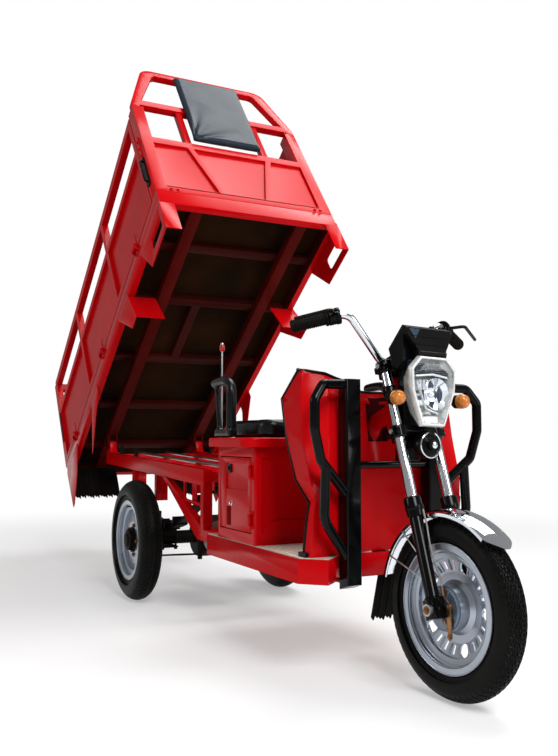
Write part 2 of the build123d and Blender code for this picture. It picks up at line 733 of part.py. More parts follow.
# ---------------------------------------------------------------- bed
bed_rail_width = 50
bed_rail_depth = 36
cross_sheet = 30            # depth of the bed's crossmembers
sill_depth = 75
ear_thick = 6
ear_gap = 2
ear_radius = 20
side_sheet = 3
post_depth = 60
post_width = 50
board_front_s = bed_length - post_depth - running_gap
board_rear_s = running_gap


def at(s, h):
    """A place in the bed's side view: s ahead of its rear edge, h above its sills' underside."""
    return (bed_rear_x + s, bed_base_z + h)


def bed_block(s_low, s_high, y_low, y_high, h_low, h_high, mode=Mode.ADD):
    """A block given in the bed's own lengths and heights."""
    block(bed_rear_x + s_low, bed_rear_x + s_high, y_low, y_high, bed_base_z + h_low,
          bed_base_z + h_high, mode=mode)


cross_low = bed_rail_depth + seat_gap
cross_high = cross_low + cross_sheet
bed_floor_low = cross_high + seat_gap
bed_floor_top = bed_floor_low + sheet

with BuildPart() as bed_frame:
    bed_block(0, bed_length, -half, half, 0, sill_depth)
    bed_block(tube, bed_length - tube, tube - half, half - tube, -1, sill_depth + 1,
              mode=Mode.SUBTRACT)
    for s in (220, 558, 915, 1300, 1605):
        bed_block(s - 20, s + 20, 5 - half, half - 5, cross_low, cross_high)
    bed_block(915, 1300, -80, -40, cross_low, cross_high)
save("bed_frame", bed_frame, tip)

# the two long rails, with ears that hold the bed's hinge pins each side of the chassis boss
with BuildPart() as bed_rails:
    for side in (-1, 1):
        y = side * rail_y
        bed_block(tube + seat_gap, bed_length - tube - seat_gap, y - bed_rail_width / 2,
                  y + bed_rail_width / 2, 0, bed_rail_depth)
        for inner in (-1, 1):
            near = y + inner * (boss_length / 2 + ear_gap)
            low, high = sorted((near, near + inner * ear_thick))
            slab([(hinge_x - ear_radius, hinge_z), (hinge_x + ear_radius, hinge_z),
                  (hinge_x + 45, bed_base_z + 20), (hinge_x - 45, bed_base_z + 20)], low, high)
            bar_across(hinge_x, hinge_z, ear_radius, low, high)
        bar_across(hinge_x, hinge_z, pin_radius, y - boss_length / 2 - ear_gap - 1,
                   y + boss_length / 2 + ear_gap + 1)
save("bed_rails", bed_rails, tip)

with BuildPart() as bed_floor:
    bed_block(tube + seat_gap, bed_length - tube - seat_gap, tube + seat_gap - half,
              half - tube - seat_gap, bed_floor_low, bed_floor_top)
save("bed_floor", bed_floor, tip)

for side, name in ((-1, "side_lugs_right"), (1, "side_lugs_left")):
    with BuildPart() as side_lugs:
        skin_low, skin_high = sorted((side * (half + seat_gap), side * (half + seat_gap + side_sheet)))
        outlines = (
            ((1555, 20), (1850, 20), (1850, -150), (1650, -150), (1575, 0)),
            ((1190, 20), (1345, 20), (1345, 0), (1390, -165), (1318, -165), (1190, 0)),
            ((737, 20), (610, 20), (610, -30), (500, -215), (737, -30)),
            ((5, 20), (264, 20), (264, 0), (190, -110), (60, -215), (30, -215), (5, 0)),
        )
        for outline in outlines:
            slab([at(s, h) for s, h in outline], skin_low, skin_high)
        with BuildSketch(side_plane(skin_high + 1)):
            with Locations(at(1762.5, -81)):
                RectangleRounded(125, 62, 14)
        extrude(amount=side_sheet + 2, mode=Mode.SUBTRACT)
        for s, h_low, h_high, wide in ((1850, -150, -seat_gap, 60),):
            low, high = sorted((side * (half + seat_gap + 1), side * (half - wide)))
            bed_block(s - side_sheet, s, low, high, h_low, h_high)
        low, high = sorted((side * (half + seat_gap + 1), side * (half - 120)))
        slab([at(1346, -3), at(1390, -165), at(1386, -165), at(1342, -3)], low, high)
    save(name, side_lugs, tip)

rib_half = 14
stub_y = 181                # stubs beside the backrest pad, between panel and hoop
stub_half = 15
hoop_tube = 36
hoop_thick = 30
hoop_foot = post_height + seat_gap
hoop_bar_low = hoop_foot + 11
hoop_bar_high = hoop_bar_low + 38
with BuildPart() as headboard:
    front = bed_length
    for side in (-1, 1):
        low, high = sorted((side * half, side * (half - post_width)))
        bed_block(front - post_depth, front, low, high, sill_depth + seat_gap, post_height)
    inner = half - post_width + 1
    bed_block(front - tube, front, -inner, inner, sill_depth + seat_gap, 115)
    bed_block(front - tube, front, -inner, inner, panel_height + board_foot - 40,
              panel_height + board_foot)
    bed_block(front - 15, front - 15 + sheet, -inner, inner, 100, panel_height + board_foot - 20)
    for side in (-1, 1):
        low, high = sorted((side * (stub_y - stub_half), side * (stub_y + stub_half)))
        bed_block(front - 26, front - 4, low, high, panel_height + board_foot - 1,
                  hoop_bar_low - seat_gap)
    for side in (-1, 1):
        foot_y = side * 100
        head_y = side * 185
        with BuildSketch(Plane.YZ.offset(bed_rear_x + front - 13)):
            with BuildLine():
                Polyline((foot_y - rib_half, bed_base_z + 105), (foot_y + rib_half, bed_base_z + 105),
                         (head_y + rib_half, bed_base_z + 410), (head_y - rib_half, bed_base_z + 410),
                         close=True)
            make_face()
        extrude(amount=13)
save("headboard", headboard, tip)

with BuildPart() as headboard_hoop:
    foot = bed_base_z + hoop_foot
    crown = bed_base_z + hoop_height
    with BuildSketch(Plane.YZ.offset(bed_rear_x + bed_length - hoop_thick)):
        with BuildLine():
            bow = FilletPolyline((-half, foot), (-half, foot + 20), (hoop_inset - half, crown),
                                 (half - hoop_inset, crown), (half, foot + 20), (half, foot),
                                 radius=hoop_bend)
            Line(bow @ 1, bow @ 0)
        make_face()
        with BuildLine():
            inner = half - hoop_tube
            bow = FilletPolyline((-inner, foot - 1), (-inner, foot + 14),
                                 (hoop_inset - inner + 12, crown - hoop_tube),
                                 (inner - hoop_inset - 12, crown - hoop_tube), (inner, foot + 14),
                                 (inner, foot - 1), radius=hoop_bend - hoop_tube)
            Line(bow @ 1, bow @ 0)
        make_face(mode=Mode.SUBTRACT)
        with Locations((0, bed_base_z + (hoop_bar_low + hoop_bar_high) / 2)):
            Rectangle(2 * inner + 4, hoop_bar_high - hoop_bar_low)
    extrude(amount=hoop_thick)
save("headboard_hoop", headboard_hoop, tip)

with BuildPart() as backrest_pad:
    bed_block(bed_length + seat_gap, bed_length + seat_gap + 45, -162, 162, 450, 970)
    fillet(backrest_pad.edges().filter_by(Axis.X), 40)
save("backrest_pad", backrest_pad, tip)

board_high = board_foot + board_height
rail_high = 40
board_axis_y = half + board_out
board_axis_h = board_foot
knuckle_radius = 8
knuckle_pin = 4.5
knuckle_half = 16
board_hinge_s = (260, 900, 1540)
leaf_sheet = 3


for side, name in ((-1, "side_board_right"), (1, "side_board_left")):
    with BuildPart() as side_board:
        low, high = sorted((side * half, side * (half - board_thick)))
        length = board_front_s - board_rear_s
        h_panel = board_foot + panel_height
        bed_block(board_rear_s, board_front_s, low, high, board_foot, board_foot + tube)
        bed_block(board_rear_s, board_front_s, low, high, h_panel - tube, h_panel)
        bed_block(board_rear_s, board_front_s, low, high, board_high - rail_high, board_high)
        for s in (board_rear_s + tube / 2, 610, 1210, board_front_s - tube / 2):
            bed_block(s - tube / 2, s + tube / 2, low, high, h_panel - 1, board_high - 1)
        for s in (board_rear_s + tube / 2, 610, 1210, board_front_s - tube / 2):
            bed_block(s - tube / 2, s + tube / 2, low, high, board_foot, h_panel)
        middle = side * (half - board_thick / 2)
        bed_block(board_rear_s + 2, board_front_s - 2, middle - sheet / 2, middle + sheet / 2,
                  board_foot + 2, h_panel - 2)
        for s in board_hinge_s:
            face = side * half
            low, high = sorted((face - side * 1, face + side * leaf_sheet))
            bed_block(s - knuckle_half, s + knuckle_half, low, high, board_axis_h,
                      board_axis_h + 70)
            with BuildSketch(Plane.YZ.offset(bed_rear_x + s - knuckle_half)):
                with Locations((side * board_axis_y, bed_base_z + board_axis_h)):
                    Circle(knuckle_radius)
            extrude(amount=2 * knuckle_half)
            with BuildSketch(Plane.YZ.offset(bed_rear_x + s - knuckle_half - 1)):
                with Locations((side * board_axis_y, bed_base_z + board_axis_h)):
                    Circle(knuckle_pin + wheel_bearing_gap)
            extrude(amount=2 * knuckle_half + 2, mode=Mode.SUBTRACT)
    save(name, side_board, tip)

tailgate_half = half - 5
gate_face_s = -running_gap - board_thick
gate_axis_s = gate_face_s - board_out
gate_hinge_y = (-270, 0, 270)
with BuildPart() as tailgate:
    h_panel = board_foot + panel_height
    bed_block(gate_face_s, -running_gap, -tailgate_half, tailgate_half, board_foot, board_foot + tube)
    bed_block(gate_face_s, -running_gap, -tailgate_half, tailgate_half, h_panel - tube, h_panel)
    bed_block(gate_face_s, -running_gap, -tailgate_half, tailgate_half, board_high - rail_high,
              board_high)
    for y in (tube / 2 - tailgate_half, 0, tailgate_half - tube / 2):
        bed_block(gate_face_s, -running_gap, y - tube / 2, y + tube / 2, board_foot, board_high)
    middle = -running_gap - board_thick / 2
    bed_block(middle - sheet / 2, middle + sheet / 2, 2 - tailgate_half, tailgate_half - 2,
              board_foot + 2, h_panel - 2)
    for y in gate_hinge_y:
        bed_block(gate_face_s - leaf_sheet, gate_face_s + 1, y - knuckle_half, y + knuckle_half,
                  board_axis_h, board_axis_h + 70)
        x, z = at(gate_axis_s, board_axis_h)
        bar_across(x, z, knuckle_radius, y - knuckle_half, y + knuckle_half)
        bar_across(x, z, knuckle_pin + wheel_bearing_gap, y - knuckle_half - 1,
                   y + knuckle_half + 1, mode=Mode.SUBTRACT)
save("tailgate", tailgate, tip)

knuckle_gap = 1.5
ear_sheet = 5
ear_low = sill_depth - 22
with BuildPart() as board_hinge_pins:
    for side in (-1, 1):
        for s in board_hinge_s:
            for end in (-1, 1):
                near = s + end * (knuckle_half + knuckle_gap)
                low, high = sorted((near, near + end * ear_sheet))
                with BuildSketch(Plane.YZ.offset(bed_rear_x + low)):
                    with BuildLine():
                        Polyline((side * (half + seat_gap), bed_base_z + ear_low),
                                 (side * (board_axis_y + 4), bed_base_z + ear_low + 8),
                                 (side * (board_axis_y + 6), bed_base_z + board_axis_h),
                                 (side * (board_axis_y - 6), bed_base_z + board_axis_h),
                                 (side * (half + seat_gap), bed_base_z + sill_depth - 1),
                                 close=True)
                    make_face()
                    with Locations((side * board_axis_y, bed_base_z + board_axis_h)):
                        Circle(6)
                extrude(amount=high - low)
            with BuildSketch(Plane.YZ.offset(bed_rear_x + s - knuckle_half - 4)):
                with Locations((side * board_axis_y, bed_base_z + board_axis_h)):
                    Circle(knuckle_pin)
            extrude(amount=2 * knuckle_half + 8)
    for y in gate_hinge_y:
        x, z = at(gate_axis_s, board_axis_h)
        for end in (-1, 1):
            near = y + end * (knuckle_half + knuckle_gap)
            low, high = sorted((near, near + end * ear_sheet))
            slab([at(-seat_gap, ear_low), at(gate_axis_s, ear_low), (x - 6, z), (x + 6, z),
                  at(gate_axis_s + 14, sill_depth - 4), at(-seat_gap, sill_depth - 4)], low, high)
            bar_across(x, z, 6, low, high)
        bar_across(x, z, knuckle_pin, y - knuckle_half - 4, y + knuckle_half + 4)
save("board_hinge_pins", board_hinge_pins, tip)

with BuildPart() as bed_mudflaps:
    for side in (-1, 1):
        low, high = sorted((side * 152, side * (half - 5)))
        bed_block(66, 71, low, high, -190, -seat_gap)
save("bed_mudflaps", bed_mudflaps, tip)

# ---------------------------------------------------------------- steering
fork_tube_radius = 15
slider_radius = 18
yoke_half = 85


def fork_block(a_low, a_high, y_low, y_high, t_low, t_high, mode=Mode.ADD):
    """A block given along the fork: a ahead of the legs, t up along them."""
    with Locations(fork.offset(t_low) * Location(((a_low + a_high) / 2, (y_low + y_high) / 2, 0))):
        Box(a_high - a_low, y_high - y_low, t_high - t_low,
            align=(Align.CENTER, Align.CENTER, Align.MIN), mode=mode)


def fork_rod(a, y, radius, t_low, t_high, mode=Mode.ADD):
    """A round bar parallel to the fork legs."""
    with Locations(fork.offset(t_low) * Location((a, y, 0))):
        Cylinder(radius, t_high - t_low, align=(Align.CENTER, Align.CENTER, Align.MIN), mode=mode)


def fork_point(a, y, t):
    """World place of a point given along the fork."""
    point = fork.from_local_coords((a, y, t))
    return (point.X, point.Y, point.Z)


tube_low_t = 230
slider_high_t = 287
tube_high_t = 678
lower_yoke_t = (462, 488)
upper_yoke_t = (655, 673)
bar_radius = 11
bar_ahead = -30
bar_t = 699
clamp_y = 15

with BuildPart() as fork_tubes:
    for y in (-fork_spread, fork_spread):
        fork_rod(0, y, fork_tube_radius, tube_low_t, tube_high_t)
save("fork_tubes", fork_tubes, steer)

with BuildPart() as fork_sliders:
    for y in (-fork_spread, fork_spread):
        fork_rod(0, y, slider_radius, -8, slider_high_t)
        fork_block(-20, 20, y - slider_radius, y + slider_radius, -24, 26)
        fork_rod(0, y, fork_tube_radius + seat_gap, tube_low_t - seat_gap, slider_high_t + 1,
                 mode=Mode.SUBTRACT)
        bar_across(wheelbase, front_tyre_radius, wheel_pin_radius + seat_gap,
                   y - slider_radius - 1, y + slider_radius + 1, mode=Mode.SUBTRACT)
save("fork_sliders", fork_sliders, steer)

with BuildPart() as fork_yokes:
    for low, high in (lower_yoke_t, upper_yoke_t):
        fork_block(-stem_setback - 24, 22, -44, 44, low, high)
        fork_block(-24, 22, -yoke_half, yoke_half, low, high)
        for y in (-fork_spread, fork_spread):
            fork_rod(0, y, fork_tube_radius + seat_gap, low - 1, high + 1, mode=Mode.SUBTRACT)
    fork_rod(-stem_setback, 0, stem_radius, lower_yoke_t[0] + 2, upper_yoke_t[1] + 8)
    for y in (-clamp_y, clamp_y):
        fork_block(bar_ahead - 16, bar_ahead + 16, y - 9, y + 9, upper_yoke_t[1] - 2, bar_t + 16)
        with Locations(fork * Location((bar_ahead, y, bar_t)) * Rotation(90, 0, 0)):
            Cylinder(bar_radius + seat_gap, 40, mode=Mode.SUBTRACT)
save("fork_yokes", fork_yokes, steer)

with BuildPart() as front_axle:
    bar_across(wheelbase, front_tyre_radius, wheel_pin_radius, -88, 88)
    for side in (-1, 1):
        near = side * (fork_spread + slider_radius + seat_gap)
        bar_across(wheelbase, front_tyre_radius, 15, *sorted((near, near + side * 10)))
save("front_axle", front_axle, steer)


def bent_tube(points, radius, bend):
    """A round tube through 3-D points, its corners rounded by arcs."""
    places = [Vector(*point) for point in points]
    with BuildLine() as path:
        start = places[0]
        for before, corner, after in zip(places, places[1:], places[2:]):
            inward = (before - corner).normalized()
            outward = (after - corner).normalized()
            turn = 180 - inward.get_angle(outward)
            reach = bend * sin(radians(turn / 2)) / cos(radians(turn / 2))
            first = corner + inward * reach
            Line(start, first)
            TangentArc(first, corner + outward * reach, tangent=-inward)
            start = corner + outward * reach
        Line(start, places[-1])
    route = path.wires()[0]
    with BuildSketch(Plane(origin=route @ 0, z_dir=route % 0)) as section:
        Circle(radius)
    sweep(section.sketch, path=route)


bar_corners = [(-65, 310, 803), (12, 167, 822), (bar_ahead, 50, bar_t)]
bar_points = bar_corners + [(a, -y, t) for a, y, t in reversed(bar_corners)]
with BuildPart() as handlebar:
    bent_tube([fork_point(*point) for point in bar_points], bar_radius, 40)
save("handlebar", handlebar, steer)

grip_radius = 17
grip_length = 96


def on_grip(side, along):
    """A plane across the handlebar's end, its z running out to the bar's tip."""
    end, bend = (Vector(*fork_point(a, side * y, t)) for a, y, t in bar_corners[:2])
    outward = (end - bend).normalized()
    return Plane(origin=end - outward * along, z_dir=outward)


with BuildPart() as grips:
    for side in (-1, 1):
        with BuildSketch(on_grip(side, grip_length)) as ring:
            Circle(grip_radius)
            Circle(bar_radius + seat_gap, mode=Mode.SUBTRACT)
        extrude(ring.sketch, amount=grip_length + 4)
save("grips", grips, steer)

with BuildPart() as bar_controls:
    for side in (-1, 1):
        for start, radius, length in ((42, 24, 12), (31, 20, 21)):
            with BuildSketch(on_grip(side, grip_length + start)):
                Circle(radius)
                Circle(bar_radius + seat_gap, mode=Mode.SUBTRACT)
            extrude(amount=length)
save("bar_controls", bar_controls, steer)

lamp_back_x = wheelbase - 150
lamp_face_x = wheelbase - 78
lamp_rim_x = lamp_face_x - 14
lamp_low_z = front_tyre_radius + 466
lamp_high_z = front_tyre_radius + 659
lamp_half = 80
lamp_back = 0.6             # size of the shell's back against its face
lamp_bezel = 9              # width of its rim round the lens
lamp_bowl = 44              # depth of the reflector's bowl
lens_stand = 5              # the lens stands this far ahead of the rim


def lamp_outline(x, scale, inset=0):
    """The shield-shaped outline of the headlight, narrowing downwards."""
    middle = (lamp_low_z + lamp_high_z) / 2
    rise = (lamp_high_z - middle) * scale - inset
    wide = lamp_half * scale - inset
    with BuildSketch(Plane(origin=(x, 0, middle), x_dir=(0, 1, 0), z_dir=(1, 0, 0))) as outline:
        with BuildLine():
            Polyline((-wide * 0.6, rise), (wide * 0.6, rise), (wide, rise * 0.66),
                     (wide * 0.97, rise * 0.02), (wide * 0.5, -rise), (-wide * 0.5, -rise),
                     (-wide * 0.97, rise * 0.02), (-wide, rise * 0.66), close=True)
        make_face()
    return outline.sketch.face()


clip_t = 594
with BuildPart() as lamp_brackets:
    for side in (-1, 1):
        y = side * fork_spread
        clip = Vector(*fork_point(0, y, clip_t))
        fork_rod(0, y, fork_tube_radius + 5, clip_t - 14, clip_t + 14)
        block(clip.X, lamp_back_x - seat_gap, *sorted((side * 28, side * (fork_spread + 6))),
              clip.Z - 14, clip.Z + 12)
        fork_rod(0, y, fork_tube_radius + seat_gap, 560, 630, mode=Mode.SUBTRACT)
save("lamp_brackets", lamp_brackets, steer)

with BuildPart() as headlight_shell:
    loft(sections=[lamp_outline(lamp_back_x, lamp_back), lamp_outline(lamp_rim_x, 1),
                   lamp_outline(lamp_face_x, 1, 3)], ruled=True)
    loft(sections=[lamp_outline(lamp_face_x - lamp_bowl, 0.72, lamp_bezel),
                   lamp_outline(lamp_face_x - 6, 1, lamp_bezel),
                   lamp_outline(lamp_face_x + 1, 1, lamp_bezel)], ruled=True, mode=Mode.SUBTRACT)
save("headlight_shell", headlight_shell, steer)

with BuildPart() as headlight_lens:
    loft(sections=[lamp_outline(lamp_face_x - 3, 1, lamp_bezel + 1),
                   lamp_outline(lamp_face_x + 1, 1, lamp_bezel + 1),
                   lamp_outline(lamp_face_x + lens_stand, 1, lamp_bezel + 12)], ruled=True)
save("headlight_lens", headlight_lens, steer)

horn_radius = 38
with BuildPart() as horn:
    with Locations(Plane(origin=(wheelbase - 104, 0, front_tyre_radius + 417), x_dir=(0, 1, 0),
                         z_dir=(1, 0, 0))):
        Cylinder(horn_radius, 26)
        Cylinder(14, 60)
    fork_block(22 + seat_gap, 60, -10, 10, lower_yoke_t[0] - 12, lower_yoke_t[0] + 6)
save("horn", horn, steer)

indicator_x = wheelbase - 100
indicator_y = 115
indicator_z = front_tyre_radius + 541
indicator_radius = 19
with BuildPart() as indicators:
    for side in (-1, 1):
        with Locations(Plane(origin=(indicator_x, side * indicator_y, indicator_z),
                             x_dir=(0, 1, 0), z_dir=(1, 0, 0))):
            Cylinder(indicator_radius, 34)
        stem_y = indicator_y - 18
        stem_x = wheelbase - (indicator_z - front_tyre_radius) * sin(radians(rake)) / cos(radians(rake))
        with Locations(Plane(origin=(stem_x - 5, side * stem_y, indicator_z),
                             x_dir=(0, 1, 0), z_dir=(1, 0, 0))):
            Cylinder(6, indicator_x - stem_x, align=(Align.CENTER, Align.CENTER, Align.MIN))
        bar_across(stem_x, indicator_z, 5, *sorted((side * (fork_spread + fork_tube_radius + seat_gap),
                                                    side * stem_y)))
save("indicators", indicators, steer)

pod_half = 78
pod_neck_half = 50          # half of its front, where it sits on the headlight
lamp_middle_z = (lamp_low_z + lamp_high_z) / 2


def lamp_top(x):
    """Height of the headlight shell's sloping top at x."""
    share = lamp_back + (1 - lamp_back) * (x - lamp_back_x) / (lamp_rim_x - lamp_back_x)
    return lamp_middle_z + (lamp_high_z - lamp_middle_z) * share


with BuildPart() as instrument_pod:
    pod_front_x = lamp_face_x - 4
    pod_rear_x = lamp_back_x + 4
    pod_top = lamp_high_z + 86
    slab([(pod_rear_x - 16, lamp_high_z - 20), (pod_rear_x - 34, lamp_high_z + 24),
          (pod_rear_x + 26, pod_top), (pod_front_x - 20, pod_top - 8),
          (pod_front_x, lamp_high_z + seat_gap), (lamp_rim_x, lamp_high_z + seat_gap),
          (pod_rear_x, lamp_top(pod_rear_x) + seat_gap)], -pod_half, pod_half)
    fillet(instrument_pod.edges().filter_by(Axis.Y), 5)
    # its front narrows towards the headlight
    for side in (-1, 1):
        with BuildSketch(Plane.YZ.offset(pod_rear_x + 30)):
            with BuildLine():
                Polyline((side * (pod_half + 1), lamp_high_z + 60), (side * (pod_half + 1), lamp_low_z),
                         (side * pod_neck_half, lamp_low_z), (side * pod_neck_half, lamp_high_z + 16),
                         close=True)
            make_face()
        extrude(amount=60, mode=Mode.SUBTRACT)
save("instrument_pod", instrument_pod, steer)

fender_radius = front_tyre_radius + 20
fender_half = fork_spread - slider_radius - seat_gap
fender_sheet = 2
fender_ahead = 38           # degrees that the fender reaches ahead of and behind the wheel's top
fender_behind = 78
fender_drop = 12            # fall of its arched section
fender_skirt = 8            # straight edge below the arch
with BuildPart() as front_fender:
    with BuildSketch(Plane(origin=(wheelbase, 0, front_tyre_radius), x_dir=(0, 1, 0),
                           z_dir=(1, 0, 0))) as section:
        shoulder_r = fender_radius - fender_drop
        with BuildLine():
            ThreePointArc((-fender_half, shoulder_r), (0, fender_radius), (fender_half, shoulder_r))
            Polyline((fender_half, shoulder_r), (fender_half, shoulder_r - fender_skirt),
                     (fender_half - fender_sheet, shoulder_r - fender_skirt),
                     (fender_half - fender_sheet, shoulder_r - fender_sheet))
            ThreePointArc((fender_half - fender_sheet, shoulder_r - fender_sheet),
                          (0, fender_radius - fender_sheet),
                          (fender_sheet - fender_half, shoulder_r - fender_sheet))
            Polyline((fender_sheet - fender_half, shoulder_r - fender_sheet),
                     (fender_sheet - fender_half, shoulder_r - fender_skirt),
                     (-fender_half, shoulder_r - fender_skirt), (-fender_half, shoulder_r))
        make_face()
    wheel_axis = Axis((wheelbase, 0, front_tyre_radius), (0, 1, 0))
    section_face = section.sketch.rotate(wheel_axis, fender_ahead)
    revolve(section_face, axis=wheel_axis, revolution_arc=-(fender_ahead + fender_behind))
save("front_fender", front_fender, steer)

flap_sheet = 5
flap_half = 55
flap_low_z = 150
flap_angle = radians(fender_behind + 0.08)


def behind_wheel(reach):
    """A place just past the fender's rear end, at a reach from the front axle."""
    return (wheelbase - reach * sin(flap_angle), front_tyre_radius + reach * cos(flap_angle))


with BuildPart() as front_mudflap:
    flap_foot_x = wheelbase - fender_radius - 32
    slab([behind_wheel(fender_radius), behind_wheel(fender_radius - flap_sheet),
          (flap_foot_x + flap_sheet, flap_low_z), (flap_foot_x, flap_low_z)], -flap_half, flap_half)
save("front_mudflap", front_mudflap, steer)

lever_stand = 22.2          # the levers start this far ahead of the handlebar's middle
with BuildPart() as brake_levers:
    for side in (-1, 1):
        start = on_grip(side, grip_length + 24)
        root = start.from_local_coords((0, 0, 0))
        outward = start.z_dir
        ahead = (fork.x_dir - outward * fork.x_dir.dot(outward)).normalized()
        points = [root + ahead * lever_stand, root + ahead * 62 + outward * 14,
                  root + ahead * 56 + outward * 118]
        bent_tube([tuple(p) for p in points], 5, 14)
save("brake_levers", brake_levers, steer)
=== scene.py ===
import bpy, bmesh, json, math
from mathutils import Matrix, Vector
from mathutils.bvhtree import BVHTree
import numpy as np


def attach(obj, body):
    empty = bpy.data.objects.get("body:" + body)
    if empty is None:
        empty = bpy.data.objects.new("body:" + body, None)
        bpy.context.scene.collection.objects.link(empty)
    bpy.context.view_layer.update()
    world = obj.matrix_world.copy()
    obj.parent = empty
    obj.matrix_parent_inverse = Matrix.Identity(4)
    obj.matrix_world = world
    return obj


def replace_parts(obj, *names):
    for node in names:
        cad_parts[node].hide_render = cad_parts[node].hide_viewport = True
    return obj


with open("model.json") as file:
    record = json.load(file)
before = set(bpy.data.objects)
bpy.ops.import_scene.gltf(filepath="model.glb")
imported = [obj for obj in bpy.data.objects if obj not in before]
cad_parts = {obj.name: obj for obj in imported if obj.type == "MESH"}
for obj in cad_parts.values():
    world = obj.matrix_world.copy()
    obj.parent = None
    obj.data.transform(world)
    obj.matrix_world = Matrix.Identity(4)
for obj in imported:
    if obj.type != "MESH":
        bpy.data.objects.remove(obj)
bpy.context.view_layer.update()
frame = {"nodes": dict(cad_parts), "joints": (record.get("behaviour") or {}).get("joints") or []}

nodes = frame["nodes"]
joints = {joint["name"]: joint for joint in frame["joints"]}
scene = bpy.context.scene

# ---- frames, in millimetres
MM = 0.001


def about(name, degrees):
    """The turn of a joint's body by so many degrees."""
    pivot = Vector(joints[name]["pos_m"])
    turn = Matrix.Rotation(math.radians(degrees), 4, Vector(joints[name]["axis"]))
    return Matrix.Translation(pivot) @ turn @ Matrix.Translation(-pivot)


def span(name, place):
    """Lowest and highest corner of a CAD node in a frame of this script."""
    back = place.inverted()
    corners = np.array([(back @ v.co)[:] for v in nodes[name].data.vertices])
    return Vector(corners.min(0)), Vector(corners.max(0))


# DRAWN: the level tricycle, x = 0 at the rear axle.  RAISED: as DRAWN, tipped with the bed.
# BED: x from the bed's rear edge, z from its sills' underside, tipped.  TURNED: as DRAWN, with
# the fork's turn.  FORK: at the front axle, x ahead of the legs, z up along them.
axle_x = joints["rear_wheel_right_spin"]["pos_m"][0]
DRAWN = Matrix.Translation((axle_x, 0, 0)) @ Matrix.Scale(MM, 4)
RAISED = about("bed_tip", -joints["bed_tip"]["range_deg"][0]) @ DRAWN
TURNED = about("steering_turn", -sum(joints["steering_turn"]["range_deg"]) / 2) @ DRAWN
sill_low, sill_high = span("bed_frame", RAISED)
BED = RAISED @ Matrix.Translation(sill_low * Vector((1, 0, 1)))
bed_length = sill_high.x - sill_low.x
bed_half = sill_high.y
wheel_low, wheel_high = span("front_tyre", TURNED)
front_hub = (wheel_low + wheel_high) / 2
front_radius = (wheel_high.z - wheel_low.z) / 2
steer_axis = Vector(joints["steering_turn"]["axis"])
rake = math.asin(-steer_axis.x)
FORK = TURNED @ Matrix.Translation(front_hub) @ Matrix.Rotation(-rake, 4, "Y")
HUB = {"front": TURNED @ Matrix.Translation(front_hub)}
for hand in ("right", "left"):
    HUB[hand] = Matrix.Translation(joints[f"rear_wheel_{hand}_spin"]["pos_m"]) @ Matrix.Scale(MM, 4)
SIDES = (("right", -1), ("left", 1))

# places of the CAD that the mesh pieces are fitted to, in the frames above
RIM_BEAD, RIM_FLANGE = 152, 168      # radii under the tyre
LEG_Y = 64                           # the fork's legs
BAR_TIP, BAR_BEND = Vector((-65, 310, 803)), Vector((12, 167, 822))
PLATE_FACE = -36.4                   # the front brake plate's outside
GUARD_X = 1400                       # the leg shield's front
FLOOR_TOP = 339.3
RAIL_Y, SPRING_Y = 235, 200          # chassis rails and leaf springs
POST_FACE = 396                      # the bed's side posts
SHARP = math.radians(35)             # edges steeper than this stay crisp
X, Y, Z = (1, 0, 0), (0, 1, 0), (0, 0, 1)


# ---- building meshes
def arc(count):
    """Cosines and sines round a full turn."""
    return [(math.cos(2 * math.pi * i / count), math.sin(2 * math.pi * i / count))
            for i in range(count)]


def curve(points, steps):
    """A smooth run through points, by Catmull and Rom."""
    pts = [Vector(p) for p in points]
    last = len(pts) - 1
    found = []
    for i in range(last):
        a, b, c, d = pts[max(i - 1, 0)], pts[i], pts[i + 1], pts[min(i + 2, last)]
        for k in range(steps):
            t = k / steps
            found.append(0.5 * (2 * b + (c - a) * t + (2 * a - 5 * b + 4 * c - d) * t * t
                                + (3 * b - a - 3 * c + d) * t ** 3))
    return found + [pts[-1]]


